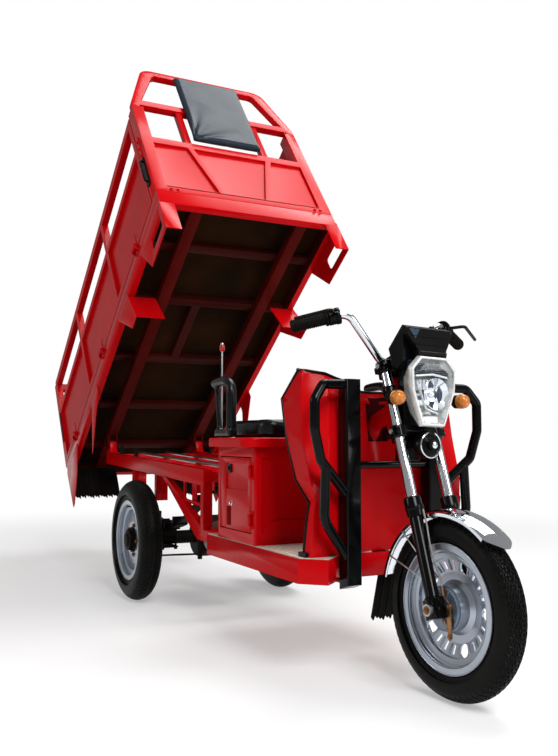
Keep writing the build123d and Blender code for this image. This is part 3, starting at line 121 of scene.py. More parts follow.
class Build:
    """Collects solids in one mesh, in millimetres of the frame that it is drawn in."""

    def __init__(self):
        self.bm = bmesh.new()

    def loops(self, rings, closed=False):
        """Skins a run of rings, with caps unless it closes on itself."""
        made = [[self.bm.verts.new(p) for p in ring] for ring in rings]
        pairs = list(zip(made, made[1:])) + ([(made[-1], made[0])] if closed else [])
        for a, b in pairs:
            for i in range(len(a)):
                j = (i + 1) % len(a)
                self.bm.faces.new((a[i], a[j], b[j], b[i]))
        if not closed:
            self.bm.faces.new(made[0][::-1])
            self.bm.faces.new(made[-1])

    def prism(self, outline, depth):
        """Draws an outline out by a vector."""
        outline = [Vector(p) for p in outline]
        self.loops([outline, [p + Vector(depth) for p in outline]])

    def box(self, low, high):
        (a, b, c), (d, e, f) = low, high
        self.prism([(a, b, c), (d, b, c), (d, e, c), (a, e, c)], (0, 0, f - c))

    def lathe(self, profile, at, axis, sides=32, closed=False):
        """Turns a profile of (along, radius) points about an axis."""
        axis = Vector(axis).normalized()
        u = axis.orthogonal().normalized()
        v = axis.cross(u)
        self.loops([[Vector(at) + axis * along + (u * c + v * s) * max(radius, 0.02)
                     for c, s in arc(sides)] for along, radius in profile], closed)

    def tube(self, path, radius, sides=10, closed=False):
        """A round rod along a path."""
        points = [Vector(p) for p in path]
        count = len(points)
        normal, rings = None, []
        for i, point in enumerate(points):
            before = points[i - 1] if i or closed else point
            after = points[(i + 1) % count] if i < count - 1 or closed else point
            along = (after - before).normalized()
            normal = along.orthogonal() if normal is None else normal
            normal = (normal - along * normal.dot(along)).normalized()
            side = along.cross(normal)
            rings.append([point + (normal * c + side * s) * radius for c, s in arc(sides)])
        self.loops(rings, closed)

    def ring(self, at, axis, radius, thick, sides=48):
        """A round rod bent to a full ring."""
        axis = Vector(axis).normalized()
        u = axis.orthogonal().normalized()
        v = axis.cross(u)
        self.tube([Vector(at) + (u * c + v * s) * radius for c, s in arc(sides)], thick, 8, True)

    def bolt(self, at, axis, radius, height):
        """A washer with a six-sided head on it."""
        self.lathe([(-0.5, radius * 1.5), (1.2, radius * 1.5)], at, axis, 18)
        self.lathe([(1, radius), (height - 1, radius), (height, radius * 0.82)], at, axis, 6)

    def dome(self, at, axis, radius, height):
        steps = [math.pi / 2 * i / 6 for i in range(7)]
        self.lathe([(-1, radius)] + [(height * math.sin(t), radius * math.cos(t)) for t in steps],
                   at, axis, 24)


def add(name, data):
    obj = bpy.data.objects.new(name, data)
    scene.collection.objects.link(obj)
    return obj


def piece(name, build, place, look, body, sharp=SHARP, bevel=0.0):
    """Sets a finished build in the row frame, dresses it and lets it ride on its body."""
    bm = build.bm
    bm.transform(place)
    bmesh.ops.recalc_face_normals(bm, faces=bm.faces)
    for face in bm.faces:
        face.smooth = True
    for edge in bm.edges:
        if len(edge.link_faces) == 2 and edge.calc_face_angle(0) > sharp:
            edge.smooth = False
    mesh = bpy.data.meshes.new(name)
    bm.to_mesh(mesh)
    bm.free()
    obj = add(name, mesh)
    dress(obj, M[look])
    if bevel:
        round_edges(obj, bevel)
    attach(obj, body)
    return obj


def dress(obj, mat):
    obj.data.materials.clear()
    obj.data.materials.append(mat)


def round_edges(obj, width):
    b = obj.modifiers.new("bevel", "BEVEL")
    b.width = width * MM
    b.segments = 2
    b.limit_method = "ANGLE"
    b.angle_limit = SHARP
    b.use_clamp_overlap = True
    b.harden_normals = True


def soften(obj, width):
    """Rounds the hard edges of a CAD node as its pressing or welding did."""
    for polygon in obj.data.polygons:
        polygon.use_smooth = True
    weld = obj.modifiers.new("weld", "WELD")
    weld.merge_threshold = 0.01 * MM
    round_edges(obj, width)


# ---- materials
GRAIN_HEIGHT = 0.0005  # metres
PATCHES = (0.32, 0.72)  # the part of a noise's range that a colour drifts over


def material(name):
    """A new node material: (material, nodes, links, shader)."""
    m = bpy.data.materials.new(name)
    m.use_nodes = True
    return m, m.node_tree.nodes, m.node_tree.links, m.node_tree.nodes["Principled BSDF"]


def put(node, values):
    """Sets a node's sockets by name."""
    for name, value in values.items():
        node.inputs[name].default_value = value


def calc(ns, ls, operation, a, b):
    """A sum of two values, each of them a socket or a plain number."""
    node = ns.new("ShaderNodeMath")
    node.operation = operation
    for given, socket in zip((a, b), node.inputs):
        if isinstance(given, float):
            socket.default_value = given
        else:
            ls.new(given, socket)
    return node.outputs["Value"]


def blend(ns, ls, fac, first, second, output):
    """Sends a mix of two shaders to an output node."""
    mix = ns.new("ShaderNodeMixShader")
    for source, socket in zip((fac, first, second), mix.inputs):
        ls.new(source, socket)
    ls.new(mix.outputs["Shader"], ns[output].inputs["Surface"])


def noise(ns, ls, scale, detail):
    n = ns.new("ShaderNodeTexNoise")
    put(n, {"Scale": scale, "Detail": detail})
    ls.new(ns.new("ShaderNodeTexCoord").outputs["Object"], n.inputs["Vector"])
    return n.outputs["Fac"]


def ramp(ns, ls, source, low, high, dark, light):
    """Runs from one colour to the other between two values of a source."""
    r = ns.new("ShaderNodeValToRGB")
    for element, where, colour in zip(r.color_ramp.elements, (low, high), (dark, light)):
        element.position = where
        element.color = (*colour, 1)
    ls.new(source, r.inputs["Fac"])
    return r.outputs["Color"]


def between(ns, ls, source, low, high):
    """Takes a source from 0 to 1 to a range of values."""
    r = ns.new("ShaderNodeMapRange")
    put(r, {"To Min": low, "To Max": high})
    ls.new(source, r.inputs["Value"])
    return r.outputs["Result"]


def bump(ns, ls, source, strength):
    b = ns.new("ShaderNodeBump")
    put(b, {"Strength": strength, "Distance": GRAIN_HEIGHT})
    ls.new(source, b.inputs["Height"])
    return b.outputs["Normal"]


def finish(name, colour, dark, rough, metallic=0.0, specular=0.5, coat=0.0, drift=5, grain=400,
           depth=0.05):
    """A surface whose colour and roughness drift, with a fine grain of its own."""
    m, ns, ls, b = material(name)
    ls.new(ramp(ns, ls, noise(ns, ls, drift, 3), *PATCHES, dark, colour), b.inputs["Base Color"])
    patches = noise(ns, ls, drift * 5, 4)
    ls.new(between(ns, ls, patches, rough * 0.7, rough * 1.4), b.inputs["Roughness"])
    ls.new(bump(ns, ls, noise(ns, ls, grain, 2), depth), b.inputs["Normal"])
    put(b, {"Metallic": metallic, "Specular IOR Level": specular, "Coat Weight": coat,
            "Coat Roughness": 0.05})
    return m


def vinyl(name, colour, dark, rough, specular):
    """Leathercloth: fine closed cells pressed in a soft sheet."""
    m, ns, ls, b = material(name)
    ls.new(ramp(ns, ls, noise(ns, ls, 5, 3), 0.3, 0.75, dark, colour), b.inputs["Base Color"])
    ls.new(between(ns, ls, noise(ns, ls, 9, 3), rough * 0.8, rough * 1.2), b.inputs["Roughness"])
    cells = ns.new("ShaderNodeTexVoronoi")
    put(cells, {"Scale": 620})
    ls.new(ns.new("ShaderNodeTexCoord").outputs["Object"], cells.inputs["Vector"])
    ls.new(bump(ns, ls, cells.outputs["Distance"], 0.2), b.inputs["Normal"])
    put(b, {"Specular IOR Level": specular})
    return m


def glass(name, colour):
    """Clear plastic with a faint tint."""
    m, ns, ls, b = material(name)
    dark = tuple(c * 0.95 for c in colour)
    ls.new(ramp(ns, ls, noise(ns, ls, 25, 2), 0.3, 0.7, dark, colour), b.inputs["Base Color"])
    put(b, {"Transmission Weight": 1.0, "Roughness": 0.02, "IOR": 1.25})
    return m


RED, DEEP = (0.5, 0.002, 0.004), (0.43, 0.001, 0.003)
M = {
    "red": finish("red_paint", RED, DEEP, 0.2, specular=0.07, drift=3, grain=260, depth=0.02),
    # the rails under the bed: dull primer, darkened as a painted shade of the bed's shadow
    "red_dull": finish("red_primer_shaded", (0.08, 0.003, 0.002), (0.045, 0.002, 0.001), 0.5,
        specular=0.04, drift=4, grain=300, depth=0.08),
    # the bed floor's underside: dark underseal, made darker still as a painted shade of the bed's
    # shadow
    "brown": finish("bed_underseal_shaded", (0.026, 0.009, 0.002), (0.007, 0.003, 0.001), 0.7,
        specular=0.03, drift=3, grain=240, depth=0.25),
    "black": finish("black_paint", (0.0022, 0.0022, 0.0024), (0.0012, 0.0012, 0.0014), 0.13,
        specular=0.13, grain=260, depth=0.02),
    "grime": finish("axle_black", (0.002, 0.0018, 0.0015), (0.0075, 0.005, 0.003), 0.5,
        specular=0.07, drift=14, grain=500, depth=0.2),
    "chrome": finish("chrome", (0.8, 0.83, 0.87), (0.66, 0.69, 0.74), 0.07, metallic=1,
        grain=500, depth=0.02),
    "steel": finish("zinc_steel", (0.5, 0.5, 0.51), (0.36, 0.35, 0.34), 0.34, metallic=1,
        drift=12),
    "copper": finish("gold_zinc", (0.42, 0.22, 0.09), (0.2, 0.1, 0.05), 0.36, metallic=0.9,
        drift=20),
    "wheel": finish("wheel_silver", (0.46, 0.5, 0.56), (0.34, 0.38, 0.44), 0.3, metallic=0.85,
        specular=0.4, coat=0.15, drift=4, grain=500, depth=0.04),
    "drum": finish("brake_drum", (0.2, 0.26, 0.34), (0.13, 0.17, 0.23), 0.34, metallic=0.8,
        drift=9),
    "alloy": finish("cast_alloy", (0.36, 0.36, 0.37), (0.24, 0.24, 0.25), 0.45, metallic=1,
        drift=9, grain=300, depth=0.2),
    "plate": finish("checker_plate", (0.6, 0.53, 0.45), (0.44, 0.36, 0.3), 0.45, metallic=0.1,
        specular=0.2, drift=60, grain=700, depth=0.12),
    "plastic": finish("black_plastic", (0.0024, 0.0024, 0.0026), (0.0012, 0.0012, 0.0013), 0.28,
        specular=0.1, grain=900, depth=0.06),
    "gloss": finish("gloss_blue_black", (0.03, 0.055, 0.09), (0.018, 0.033, 0.056), 0.15,
        specular=0.4, grain=300, depth=0.02),
    "rubber": finish("black_rubber", (0.0022, 0.002, 0.0018), (0.005, 0.0038, 0.0028), 0.5,
        specular=0.06, drift=9, grain=500, depth=0.2),
    "tyre": finish("tyre_rubber", (0.0018, 0.0018, 0.0017), (0.005, 0.0045, 0.004), 0.4,
        specular=0.09, drift=12, grain=700, depth=0.15),
    "cable": finish("grey_cable", (0.3, 0.29, 0.27), (0.18, 0.17, 0.16), 0.4, specular=0.3,
        drift=20),
    "vinyl": vinyl("seat_vinyl", (0.003, 0.0032, 0.0036), (0.0015, 0.0016, 0.0018), 0.24, 0.22),
    "pad": vinyl("backrest_vinyl", (0.022, 0.034, 0.048), (0.011, 0.018, 0.027), 0.34, 0.1),
    "lamp": finish("lamp_silver", (0.62, 0.62, 0.6), (0.5, 0.5, 0.49), 0.26, metallic=0.35,
        specular=0.3, grain=500, depth=0.03),
    "white": finish("lamp_white", (0.8, 0.83, 0.84), (0.7, 0.74, 0.77), 0.2, grain=300,
        depth=0.02),
    "mirror": finish("reflector", (0.9, 0.92, 0.95), (0.75, 0.8, 0.88), 0.1, metallic=1,
        drift=30),
    "amber": finish("amber_lens", (0.62, 0.2, 0.02), (0.26, 0.07, 0.008), 0.1, drift=60,
        grain=200),
    "speckle": finish("checker_studs", (0.52, 0.4, 0.31), (0.2, 0.13, 0.1), 0.5, metallic=0.2,
        drift=70),
    "red_lens": finish("red_lens", (0.45, 0.006, 0.006), (0.3, 0.003, 0.003), 0.1, drift=20,
        grain=200),
    "dial": finish("dial_glass", (0.012, 0.016, 0.022), (0.006, 0.009, 0.014), 0.06, drift=8,
        depth=0.0),
    "dark": finish("seam_shadow", (0.045, 0.002, 0.002), (0.025, 0.001, 0.001), 0.7,
        specular=0.05),
    "lens": glass("clear_lens", (0.97, 0.985, 1.0)),
}
LOOK = {
    "red": ("chassis_frame", "front_frame", "floor_skirt", "seat_box", "box_door", "seat_platform",
            "leg_shield", "side_lugs_right", "side_lugs_left", "headboard", "headboard_hoop",
            "side_board_right", "side_board_left", "tailgate", "board_hinge_pins",
            "spring_hangers"),
    "red_dull": ("bed_rails",),
    "brown": ("bed_floor",),
    "grime": ("rear_axle", "leaf_springs"),
    "black": ("bed_rest", "front_guard", "fork_sliders", "lamp_brackets", "fork_yokes"),
    "alloy": ("drive_motor",),
    "wheel": ("rear_wheel_right", "rear_wheel_left", "front_wheel"),
    "chrome": ("fork_tubes", "handlebar", "front_fender"),
    "steel": ("front_axle", "bed_latch_lever"),
    "plate": ("floor_plate",),
    "lamp": ("headlight_shell",),
    "lens": ("headlight_lens",),
    "plastic": ("indicators", "instrument_pod", "horn", "battery_pack", "bar_controls",
                "brake_levers"),
    "rubber": ("grips", "front_mudflap", "bed_mudflaps"),
    "vinyl": ("armrests", "seat_cushion"),
    "pad": ("backrest_pad",),
}
for look, names in LOOK.items():
    for name in names:
        dress(nodes[name], M[look])


def red_with_shaded_underside():
    """The bed's frame is glossy red outside, and dull primer on the members underneath, their dark
    colour a painted shade of the shadow under the bed.
    """
    m, ns, ls, b = material("bed_frame_red_shaded_under")
    place = ns.new("ShaderNodeTexCoord").outputs["Object"]
    rows = BED.inverted()
    fac = 1.0
    sill = 29  # the sills' depth, a little short
    for axis, low, high in ((0, sill, bed_length - sill), (1, sill - bed_half, bed_half - sill)):
        dot = ns.new("ShaderNodeVectorMath")
        dot.operation = "DOT_PRODUCT"
        ls.new(place, dot.inputs[0])
        dot.inputs[1].default_value = rows[axis][:3]
        for operation, edge in (("GREATER_THAN", low), ("LESS_THAN", high)):
            test = calc(ns, ls, operation, dot.outputs["Value"], edge - rows[axis][3])
            fac = calc(ns, ls, "MULTIPLY", fac, test)
    # the second pair of colours, a very dark red, is the painted shade of the members under the bed
    colours = [ramp(ns, ls, noise(ns, ls, 3, 3), *PATCHES, *pair)
               for pair in ((DEEP, RED), ((0.020, 0.002, 0.001), (0.045, 0.003, 0.001)))]
    mix = ns.new("ShaderNodeMix")
    mix.data_type = "RGBA"
    for source, socket in zip((fac, *colours), ("Factor", "A", "B")):
        ls.new(source, mix.inputs[socket])
    ls.new(mix.outputs["Result"], b.inputs["Base Color"])
    ls.new(between(ns, ls, fac, 0.20, 0.5), b.inputs["Roughness"])
    ls.new(bump(ns, ls, noise(ns, ls, 260, 2), 0.03), b.inputs["Normal"])
    put(b, {"Specular IOR Level": 0.06})
    return m


dress(nodes["bed_frame"], red_with_shaded_underside())
SOFT_EDGES = {  # width in millimetres
    2.0: ("chassis_frame", "front_frame", "bed_frame", "bed_rails", "headboard",
          "headboard_hoop", "seat_box", "floor_skirt", "front_guard", "leg_shield",
          "headlight_shell", "horn", "bed_rest"),
    1.0: ("box_door", "side_lugs_right", "side_lugs_left", "fork_yokes", "lamp_brackets",
          "spring_hangers", "bar_controls", "fork_sliders", "drive_motor"),
}
for width, names in SOFT_EDGES.items():
    for name in names:
        soften(nodes[name], width)
for node in nodes.values():
    if not node.modifiers:
        for polygon in node.data.polygons:
            polygon.use_smooth = True
        node.data.set_sharp_from_angle(angle=SHARP)


# ---- wheels
def tyre_skin(name, hub, radius, width, body, node, lugs):
    """A tyre with rows of staggered blocks on its crown and notches along its shoulders."""
    wall, foot = width / 2, width * 0.32
    rise = width * 0.36
    edge_y = wall - 2
    crown = (edge_y ** 2 + rise ** 2) / (2 * rise)
    steps, rows, across = 8, 6.5, 52
    around = lugs * steps
    stagger = (0, 4, 1, 5, 2, 6, 0)
    inside = [(foot - 9, RIM_BEAD), (wall - 12, radius - width * 0.55), (0, radius - 14),
              (12 - wall, radius - width * 0.55), (9 - foot, RIM_BEAD)]
    lower = [(foot, RIM_BEAD), (foot, RIM_FLANGE - 3), (foot + 2.2, RIM_FLANGE + 1),
             (foot + 2, RIM_FLANGE + 5), (foot + 6, RIM_FLANGE + 14),
             (foot + 5.5, RIM_FLANGE + 16),
             (wall - 0.6, radius - width * 0.62 - 2), (wall, radius - width * 0.62),
             (wall - 0.8, radius - width * 0.5)]
    rings = []
    for i in range(around):
        turn = 2 * math.pi * i / around
        points = [(-y, r) for y, r in lower]
        for k in range(across + 1):
            y = edge_y * (2 * k / across - 1)
            side = abs(y) / edge_y
            r = radius - crown + math.sqrt(crown ** 2 - y * y)
            wander = 0.05 if i % steps < steps / 2 else 0.0
            row = int((side + wander) * rows)
            groove = 0 < row < 6 and (side + wander) * rows - row < 0.27
            gap = row < 5 and (i + stagger[row] + (4 if y > 0 else 0)) % steps < 2
            notch = row == 5 and (i + 2) % steps < 3
            cut = 2.4 if notch else 3.6 if groove else 2.8 if gap else 0.0
            points.append((y, r - cut))
        points += lower[::-1] + inside
        rings.append([(r * math.sin(turn), y, r * math.cos(turn)) for y, r in points])
    b = Build()
    b.loops(rings, closed=True)
    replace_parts(piece(name, b, HUB[hub], "tyre", body, sharp=math.radians(30)), node)


for hand, side in SIDES:
    low, high = span(f"rear_tyre_{hand}", DRAWN)
    wheel = f"rear_wheel_{hand}"
    tyre_skin(f"rear_tread_{hand}", hand, (high.z - low.z) / 2, high.y - low.y, wheel,
              f"rear_tyre_{hand}", 70)
    cap = Build()
    out = (0, side, 0)
    cap.lathe([(13.8, 51), (17, 53), (20, 51), (22, 45), (36.3, 43), (38.5, 38), (39, 27), (44, 25),
               (45.5, 20), (45.5, 0)], (0, 0, 0), out, 40)
    for c, s in arc(6):
        cap.bolt((42 * c, side * 21, 42 * s), out, 5.5, 8)
    piece(f"hub_cap_{hand}", cap, HUB[hand], "grime", wheel)
    nuts = Build()
    for c, s in arc(5):
        nuts.bolt((63 * c, side * 14, 63 * s), out, 7, 9)
    piece(f"wheel_nuts_{hand}", nuts, HUB[hand], "copper", wheel)
    rim = Build()
    for radius, along, thick in ((163.5, 36, 1.9), (146.8, 30, 1.6), (128, 5, 1.5)):
        rim.ring((0, side * along, 0), out, radius, thick)
    piece(f"rim_beads_{hand}", rim, HUB[hand], "wheel", wheel)
    valve = Build()
    valve.lathe([(0, 4.5), (14, 3.8), (16, 2.6), (27, 2.6)], (0, side * 14, 138), out, 12)
    piece(f"valve_{hand}", valve, HUB[hand], "rubber", wheel)

tyre_skin("front_tread", "front", front_radius, 80, "front_wheel", "front_tyre", 66)
rim = Build()
for side in (-1, 1):
    for radius, along, thick in ((163.5, 30.5, 1.9), (147, 25, 1.6), (139, 22, 1.3)):
        rim.ring((0, side * along, 0), Y, radius, thick)
rim.ring((0, 2, 0), Y, 126, 1.6)
piece("front_rim_beads", rim, HUB["front"], "wheel", "front_wheel")

# pressed ribs stand between the openings of the front wheel's disc
ribs = Build()
for degrees in range(10, 370, 18):
    if min(abs(degrees % 72 - opening) for opening in (0, 20, 36, 52, 72)) < 5.5:
        continue
    c, s = math.cos(math.radians(degrees)), math.sin(math.radians(degrees))
    ribs.tube([(r * c, y, r * s) for r, y in ((94, 8.0), (100, 5.2), (116, 1.2), (121, 0.2))],
              2.6, 8)
piece("front_wheel_ribs", ribs, HUB["front"], "wheel", "front_wheel")

plate = Build()
plate.lathe([(30.3, 57), (34, 57), (36.5, 54), (37, 30), (39.5, 27), (40.5, 14), (40.5, 10.2)],
            (0, 0, 0), (0, -1, 0), 56)
plate.ring((0, -35, 0), Y, 52.5, 2.0)
for degrees in range(20, 380, 45):
    c, s = math.cos(math.radians(degrees)), math.sin(math.radians(degrees))
    plate.tube([(29 * c, PLATE_FACE, 29 * s), (50 * c, PLATE_FACE, 50 * s)], 1.6, 8)
piece("brake_plate", plate, HUB["front"], "drum", "steering")

# the front brake's arm, with its return spring
arm = Build()
arm.lathe([(36.5, 9), (45, 9), (45, 4)], (27, 0, 10), (0, -1, 0), 20)
arm.prism([(x, -40.6, z) for x, z in ((20, 12), (34, 12), (40, -66), (33, -74), (26, -66))],
          (0, -4.4, 0))
arm.bolt((33, -45, -64), (0, -1, 0), 5, 5)
arm.bolt((27, -45, 10), (0, -1, 0), 5, 5)
arm.tube([(-2, -43, -8), (10, -43.4, -30), (33, -43, -62)], 1.8, 8)
arm.lathe([(0, 4), (14, 4)], (6, -43.4, -23), (0.5, 0, -0.86), 10)
piece("front_brake_arm", arm, HUB["front"], "copper", "steering", bevel=0.6)

ends = Build()
for side in (-1, 1):
    ends.bolt((0, side * 92.2, 0), (0, side, 0), 7.5, 6)
    ends.lathe([(0, 4.5), (9, 4.5), (10, 3.5)], (0, side * 92, 0), (0, side, 0), 16)
piece("front_axle_nuts", ends, HUB["front"], "copper", "steering")

# ---- fork, fender and front brake cable
collars = Build()
for side in (-1, 1):
    collars.lathe([(0, 18.2), (1.5, 22), (18, 22.5), (20, 24), (50, 24), (53, 22.5), (55, 16)],
                  (0, side * LEG_Y, 238), Z, 36)
    collars.lathe([(0, 18.5), (3, 22), (26, 22), (30, 19)], (0, side * LEG_Y, 2), Z, 32)
    for t in (458, 651):
        collars.lathe([(0, 21), (2, 24), (32, 24), (34, 21)], (0, side * LEG_Y, t), Z, 32)
        collars.box((-4, side * 85 - 9, t + 6), (12, side * 85 + 9, t + 28))
    collars.lathe([(0, 17), (10, 17), (13, 13)], (0, side * LEG_Y, 676), Z, 6)
collars.box((-16, -46, 470), (19, 46, 478))
piece("fork_collars", collars, FORK, "black", "steering", bevel=1.0)
pinches = Build()
for side in (-1, 1):
    for t in (475, 668):
        pinches.bolt((4, side * 94, t), (0, side, 0), 5, 5)
piece("yoke_bolts", pinches, FORK, "steel", "steering")

fender_low, fender_high = span("front_fender", TURNED)
fender_half = (fender_high.y - fender_low.y) / 2
fender_top = fender_high.z - front_hub.z
fender_rise = 12.2  # of its crown over its edges


def over(degrees, y, r):
    """A point over the front wheel, so many degrees ahead of its top."""
    turn = math.radians(degrees)
    return r * math.sin(turn), y, r * math.cos(turn)


def fender_section(degrees, half, drop, lift, sheet):
    points = [(half * k / 8, fender_top + lift - drop * (k / 8) ** 2) for k in range(-8, 9)]
    points += [(y * (half - sheet) / half, r - sheet) for y, r in reversed(points)]
    return [over(degrees, y, r) for y, r in points]


tip = Build()
tip.loops([fender_section(a, fender_half * w, fender_rise * w * w, lift, sheet)
           for a, w, lift, sheet in
           ((36.2, 1.006, 0.5, 3), (38.5, 0.99, 0.5, 2.4), (41, 0.88, 0.4, 2),
            (43.5, 0.68, 0.2, 2), (46, 0.42, 0.0, 1.6), (48, 0.16, -0.3, 1.2))])
for side in (-1, 1):
    tip.tube([over(a, side * (fender_half - 3.4), fender_top - 20) for a in range(-78, 38, 4)],
             2.4, 8)
piece("fender_tip_and_beads", tip, HUB["front"], "chrome", "steering")

stays = Build()
rivets = Build()
for side in (-1, 1):
    for a, t in ((-62, 60), (-40, 118)):
        at = Vector(over(a, side * (fender_half + 1), fender_top - 17))
        foot = FORK.inverted() @ (HUB["front"] @ at)
        stays.tube([foot, (-19, side * 58, t + 14), (-18, side * 60, t)], 2.2, 8)
    for a in (8, 22, 34):
        rivets.dome(over(a, side * 30, fender_top - 6.2), over(a, side * 0.3, 1), 3.4, 2)
piece("fender_stays", stays, FORK, "steel", "steering")
piece("fender_rivets", rivets, HUB["front"], "steel", "steering")

stop = Build()
stop.lathe([(0, 4.5), (22, 4.5), (24, 3)], (6, -41.5, 33), (-0.1, -0.12, 0.98), 14)
stop.box((0, -44, 24), (13, -36, 34))
piece("cable_stop", stop, HUB["front"], "copper", "steering", bevel=0.6)
clip = Build()
clip.lathe([(-7, 4.4), (7, 4.4)], (20, -52, 262), (-0.05, 0, 1), 14)
clip.box((-4, -58, 256), (18, -48, 268))
piece("cable_clip", clip, FORK, "black", "steering", bevel=0.6)

# the front brake cable runs from its clip beside the fender down to the brake plate
cable_route = [FORK @ Vector(p) for p in ((20, -52, 256), (20.5, -52, 236))]
cable_route += [TURNED @ Vector(p) for p in (
    (1622, -51, 444), (1627, -50, 418), (1634, -50, 391), (1645, -49, 360), (1658, -48, 330))]
cable_route += [HUB["front"] @ Vector(p) for p in ((3, -45.5, 78), (3.6, -44.4, 57))]
line = bpy.data.curves.new("front_brake_cable", "CURVE")
line.dimensions = "3D"
line.bevel_depth = 0.0025
line.bevel_resolution = 4
line.resolution_u = 12
spline = line.splines.new("NURBS")
spline.points.add(len(cable_route) - 1)
for point, place in zip(spline.points, cable_route):
    point.co = (*place, 1)
spline.order_u = 3
spline.use_endpoint_u = True
cable = add("front_brake_cable", line)
line.materials.append(M["cable"])
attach(cable, "steering")


def flap(name, place, corner, down, spans, teeth, body, node):
    """A rubber flap with a ragged lower edge and upright ribs, over some spans of y."""
    corner, down, thick = Vector(corner), Vector(down), Vector((4.6, 0, 0))
    b = Build()
    for low, high in spans:
        edge = [corner + Vector((0, low, 0)), corner + Vector((0, high, 0))]
        step = (high - low) / teeth
        for i in range(teeth):
            reach = 1 - 0.055 * ((i * 7) % 5) / 4
            for share, lift in ((0.12, 0), (0.88, 0.07)):
                edge.append(corner + Vector((0, high - step * (i + share), 0))
                            + down * (reach - lift))
        b.prism(edge, thick)
        for i in range(1, teeth, 2):
            top = corner + Vector((0, high - step * i, 0)) + down * 0.06 + thick * 1.02
            b.tube([top, top + down * 0.78], 2.0, 6)
    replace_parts(piece(name, b, place, "rubber", body), node)


low, high = span("front_mudflap", TURNED)
flap_x, flap_z = 1420.5, 284.4
flap("front_flap", TURNED, (flap_x, 0, flap_z), (low.x - flap_x, 0, low.z - flap_z),
     ((low.y, high.y),), 9, "steering", "front_mudflap")
low, high = span("bed_mudflaps", BED)
flap_inner = 152
flap("bed_flaps", BED, (low.x, 0, high.z), (0, 0, low.z - high.z),
     ((flap_inner, high.y), (-high.y, -flap_inner)), 17, "bed", "bed_mudflaps")


# ---- touching the CAD skins
def skin(name):
    """The skin of a CAD node, for casting lines at."""
    mesh = nodes[name].data
    return BVHTree.FromPolygons([v.co.copy() for v in mesh.vertices],
                                [tuple(p.vertices) for p in mesh.polygons])


def meet(tree, place, start, direction):
    """Where a line drawn in a frame of this script first meets a node's skin, in that frame."""
    way = (place.to_3x3() @ Vector(direction)).normalized()
    found = tree.ray_cast(place @ Vector(start), way)[0]
    return None if found is None else place.inverted() @ found


def from_ahead(tree, place, y, z):
    """Meets the skin from a point clear ahead of it."""
    return meet(tree, place, (1700, y, z), (-1, 0, 0))


def from_above(tree, place, x, y):
    """Meets the skin from a point clear above it."""
    return meet(tree, place, (x, y, 1100), (0, 0, -1))


# ---- headlight, pod, horn, indicators
inner = Build()
inner.lathe([(0, 8), (0, 22), (24, 43), (26, 45), (27, 43), (4, 19), (3, 8)], (1551, 20, 790), X,
            48, True)
inner.dome((1554, 20, 790), X, 12, 10)
piece("headlight_bowl", inner, TURNED, "mirror", "steering")
fins = Build()
for k in range(9):
    fins.box((1550, -62, 838 + 5 * k), (1578 - 1.6 * k, 62, 840.4 + 5 * k))
fins.box((1549, 38, 760), (1566, 60, 850))
piece("headlight_fins", fins, TURNED, "gloss", "steering", bevel=0.6)
bars = Build()
bars.box((1550, -44, 758), (1580, -8, 772))
bars.box((1550, -52, 784), (1572, -30, 790))
bars.box((1550, -26, 712), (1578, 24, 728))
for y in (-36, -24, -12):
    bars.box((1550, y - 2, 800), (1576, y + 3, 828))
bars.tube([(1580, -54, 836), (1584, 0, 842), (1580, 54, 836)], 3.2, 12)
bars.tube([(1580, -50, 822), (1582, -22, 748), (1580, 22, 736)], 2.4, 12)
piece("headlight_bars", bars, TURNED, "white", "steering", bevel=1.2)

cowl = Build()
cowl.box((1488, -44, 690), (1519, 44, 880))
cowl.box((1470, -38, 604), (1494, 38, 700))
cowl.box((1494, -30, 640), (1552, 30, 660))
piece("lamp_cowl", cowl, TURNED, "plastic", "steering", bevel=6)

pod_skin = skin("instrument_pod")
steps = Build()
for z, half in ((946, 62), (923, 58), (902, 50)):
    path = [from_ahead(pod_skin, TURNED, y, z) for y in np.linspace(-half, half, 15)]
    path = [p for p in path if p]
    if len(path) > 2:
        steps.tube(path, 2.4, 8)
piece("pod_steps", steps, TURNED, "plastic", "steering")
facet = Build()
corners = [from_ahead(pod_skin, TURNED, y, z) for y, z in ((-70, 965), (-34, 965), (-54, 938))]
if all(corners):
    face_on = (corners[1] - corners[0]).cross(corners[2] - corners[0]).normalized()
    face_on = face_on if face_on.x > 0 else -face_on
    facet.prism([c - face_on for c in corners], face_on * 3)
    piece("pod_facet", facet, TURNED, "gloss", "steering", bevel=0.5)
screen = Build()
corners = [from_above(pod_skin, TURNED, x, y) for x, y in
           ((1500, -58), (1500, 58), (1550, 58), (1550, -58))]
if all(corners):
    face_on = (corners[1] - corners[0]).cross(corners[2] - corners[1]).normalized()
    face_on = face_on if face_on.z > 0 else -face_on
    screen.prism([c - face_on for c in corners], face_on * 2.2)
    piece("pod_screen", screen, TURNED, "dial", "steering", bevel=0.6)
knobs = Build()
for y in (30, 62):
    at = from_above(pod_skin, TURNED, 1545, y)
    if at:
        knobs.lathe([(-2, 8), (7, 7.4), (9, 6), (10, 0)], at, Z, 24)
piece("pod_knobs", knobs, TURNED, "plastic", "steering")

bright = Build()
bright.ring((1579, 0, 650), X, 34, 2.6)
bright.lathe([(0, 9), (1.5, 9), (2.6, 6), (2.8, 0)], (1595, 0, 650), X, 24)
piece("horn_ring", bright, TURNED, "chrome", "steering")
grille = Build()
for radius in (12, 17, 22, 27):
    grille.ring((1579.2, 0, 650), X, radius, 1.3)
piece("horn_ribs", grille, TURNED, "black", "steering")

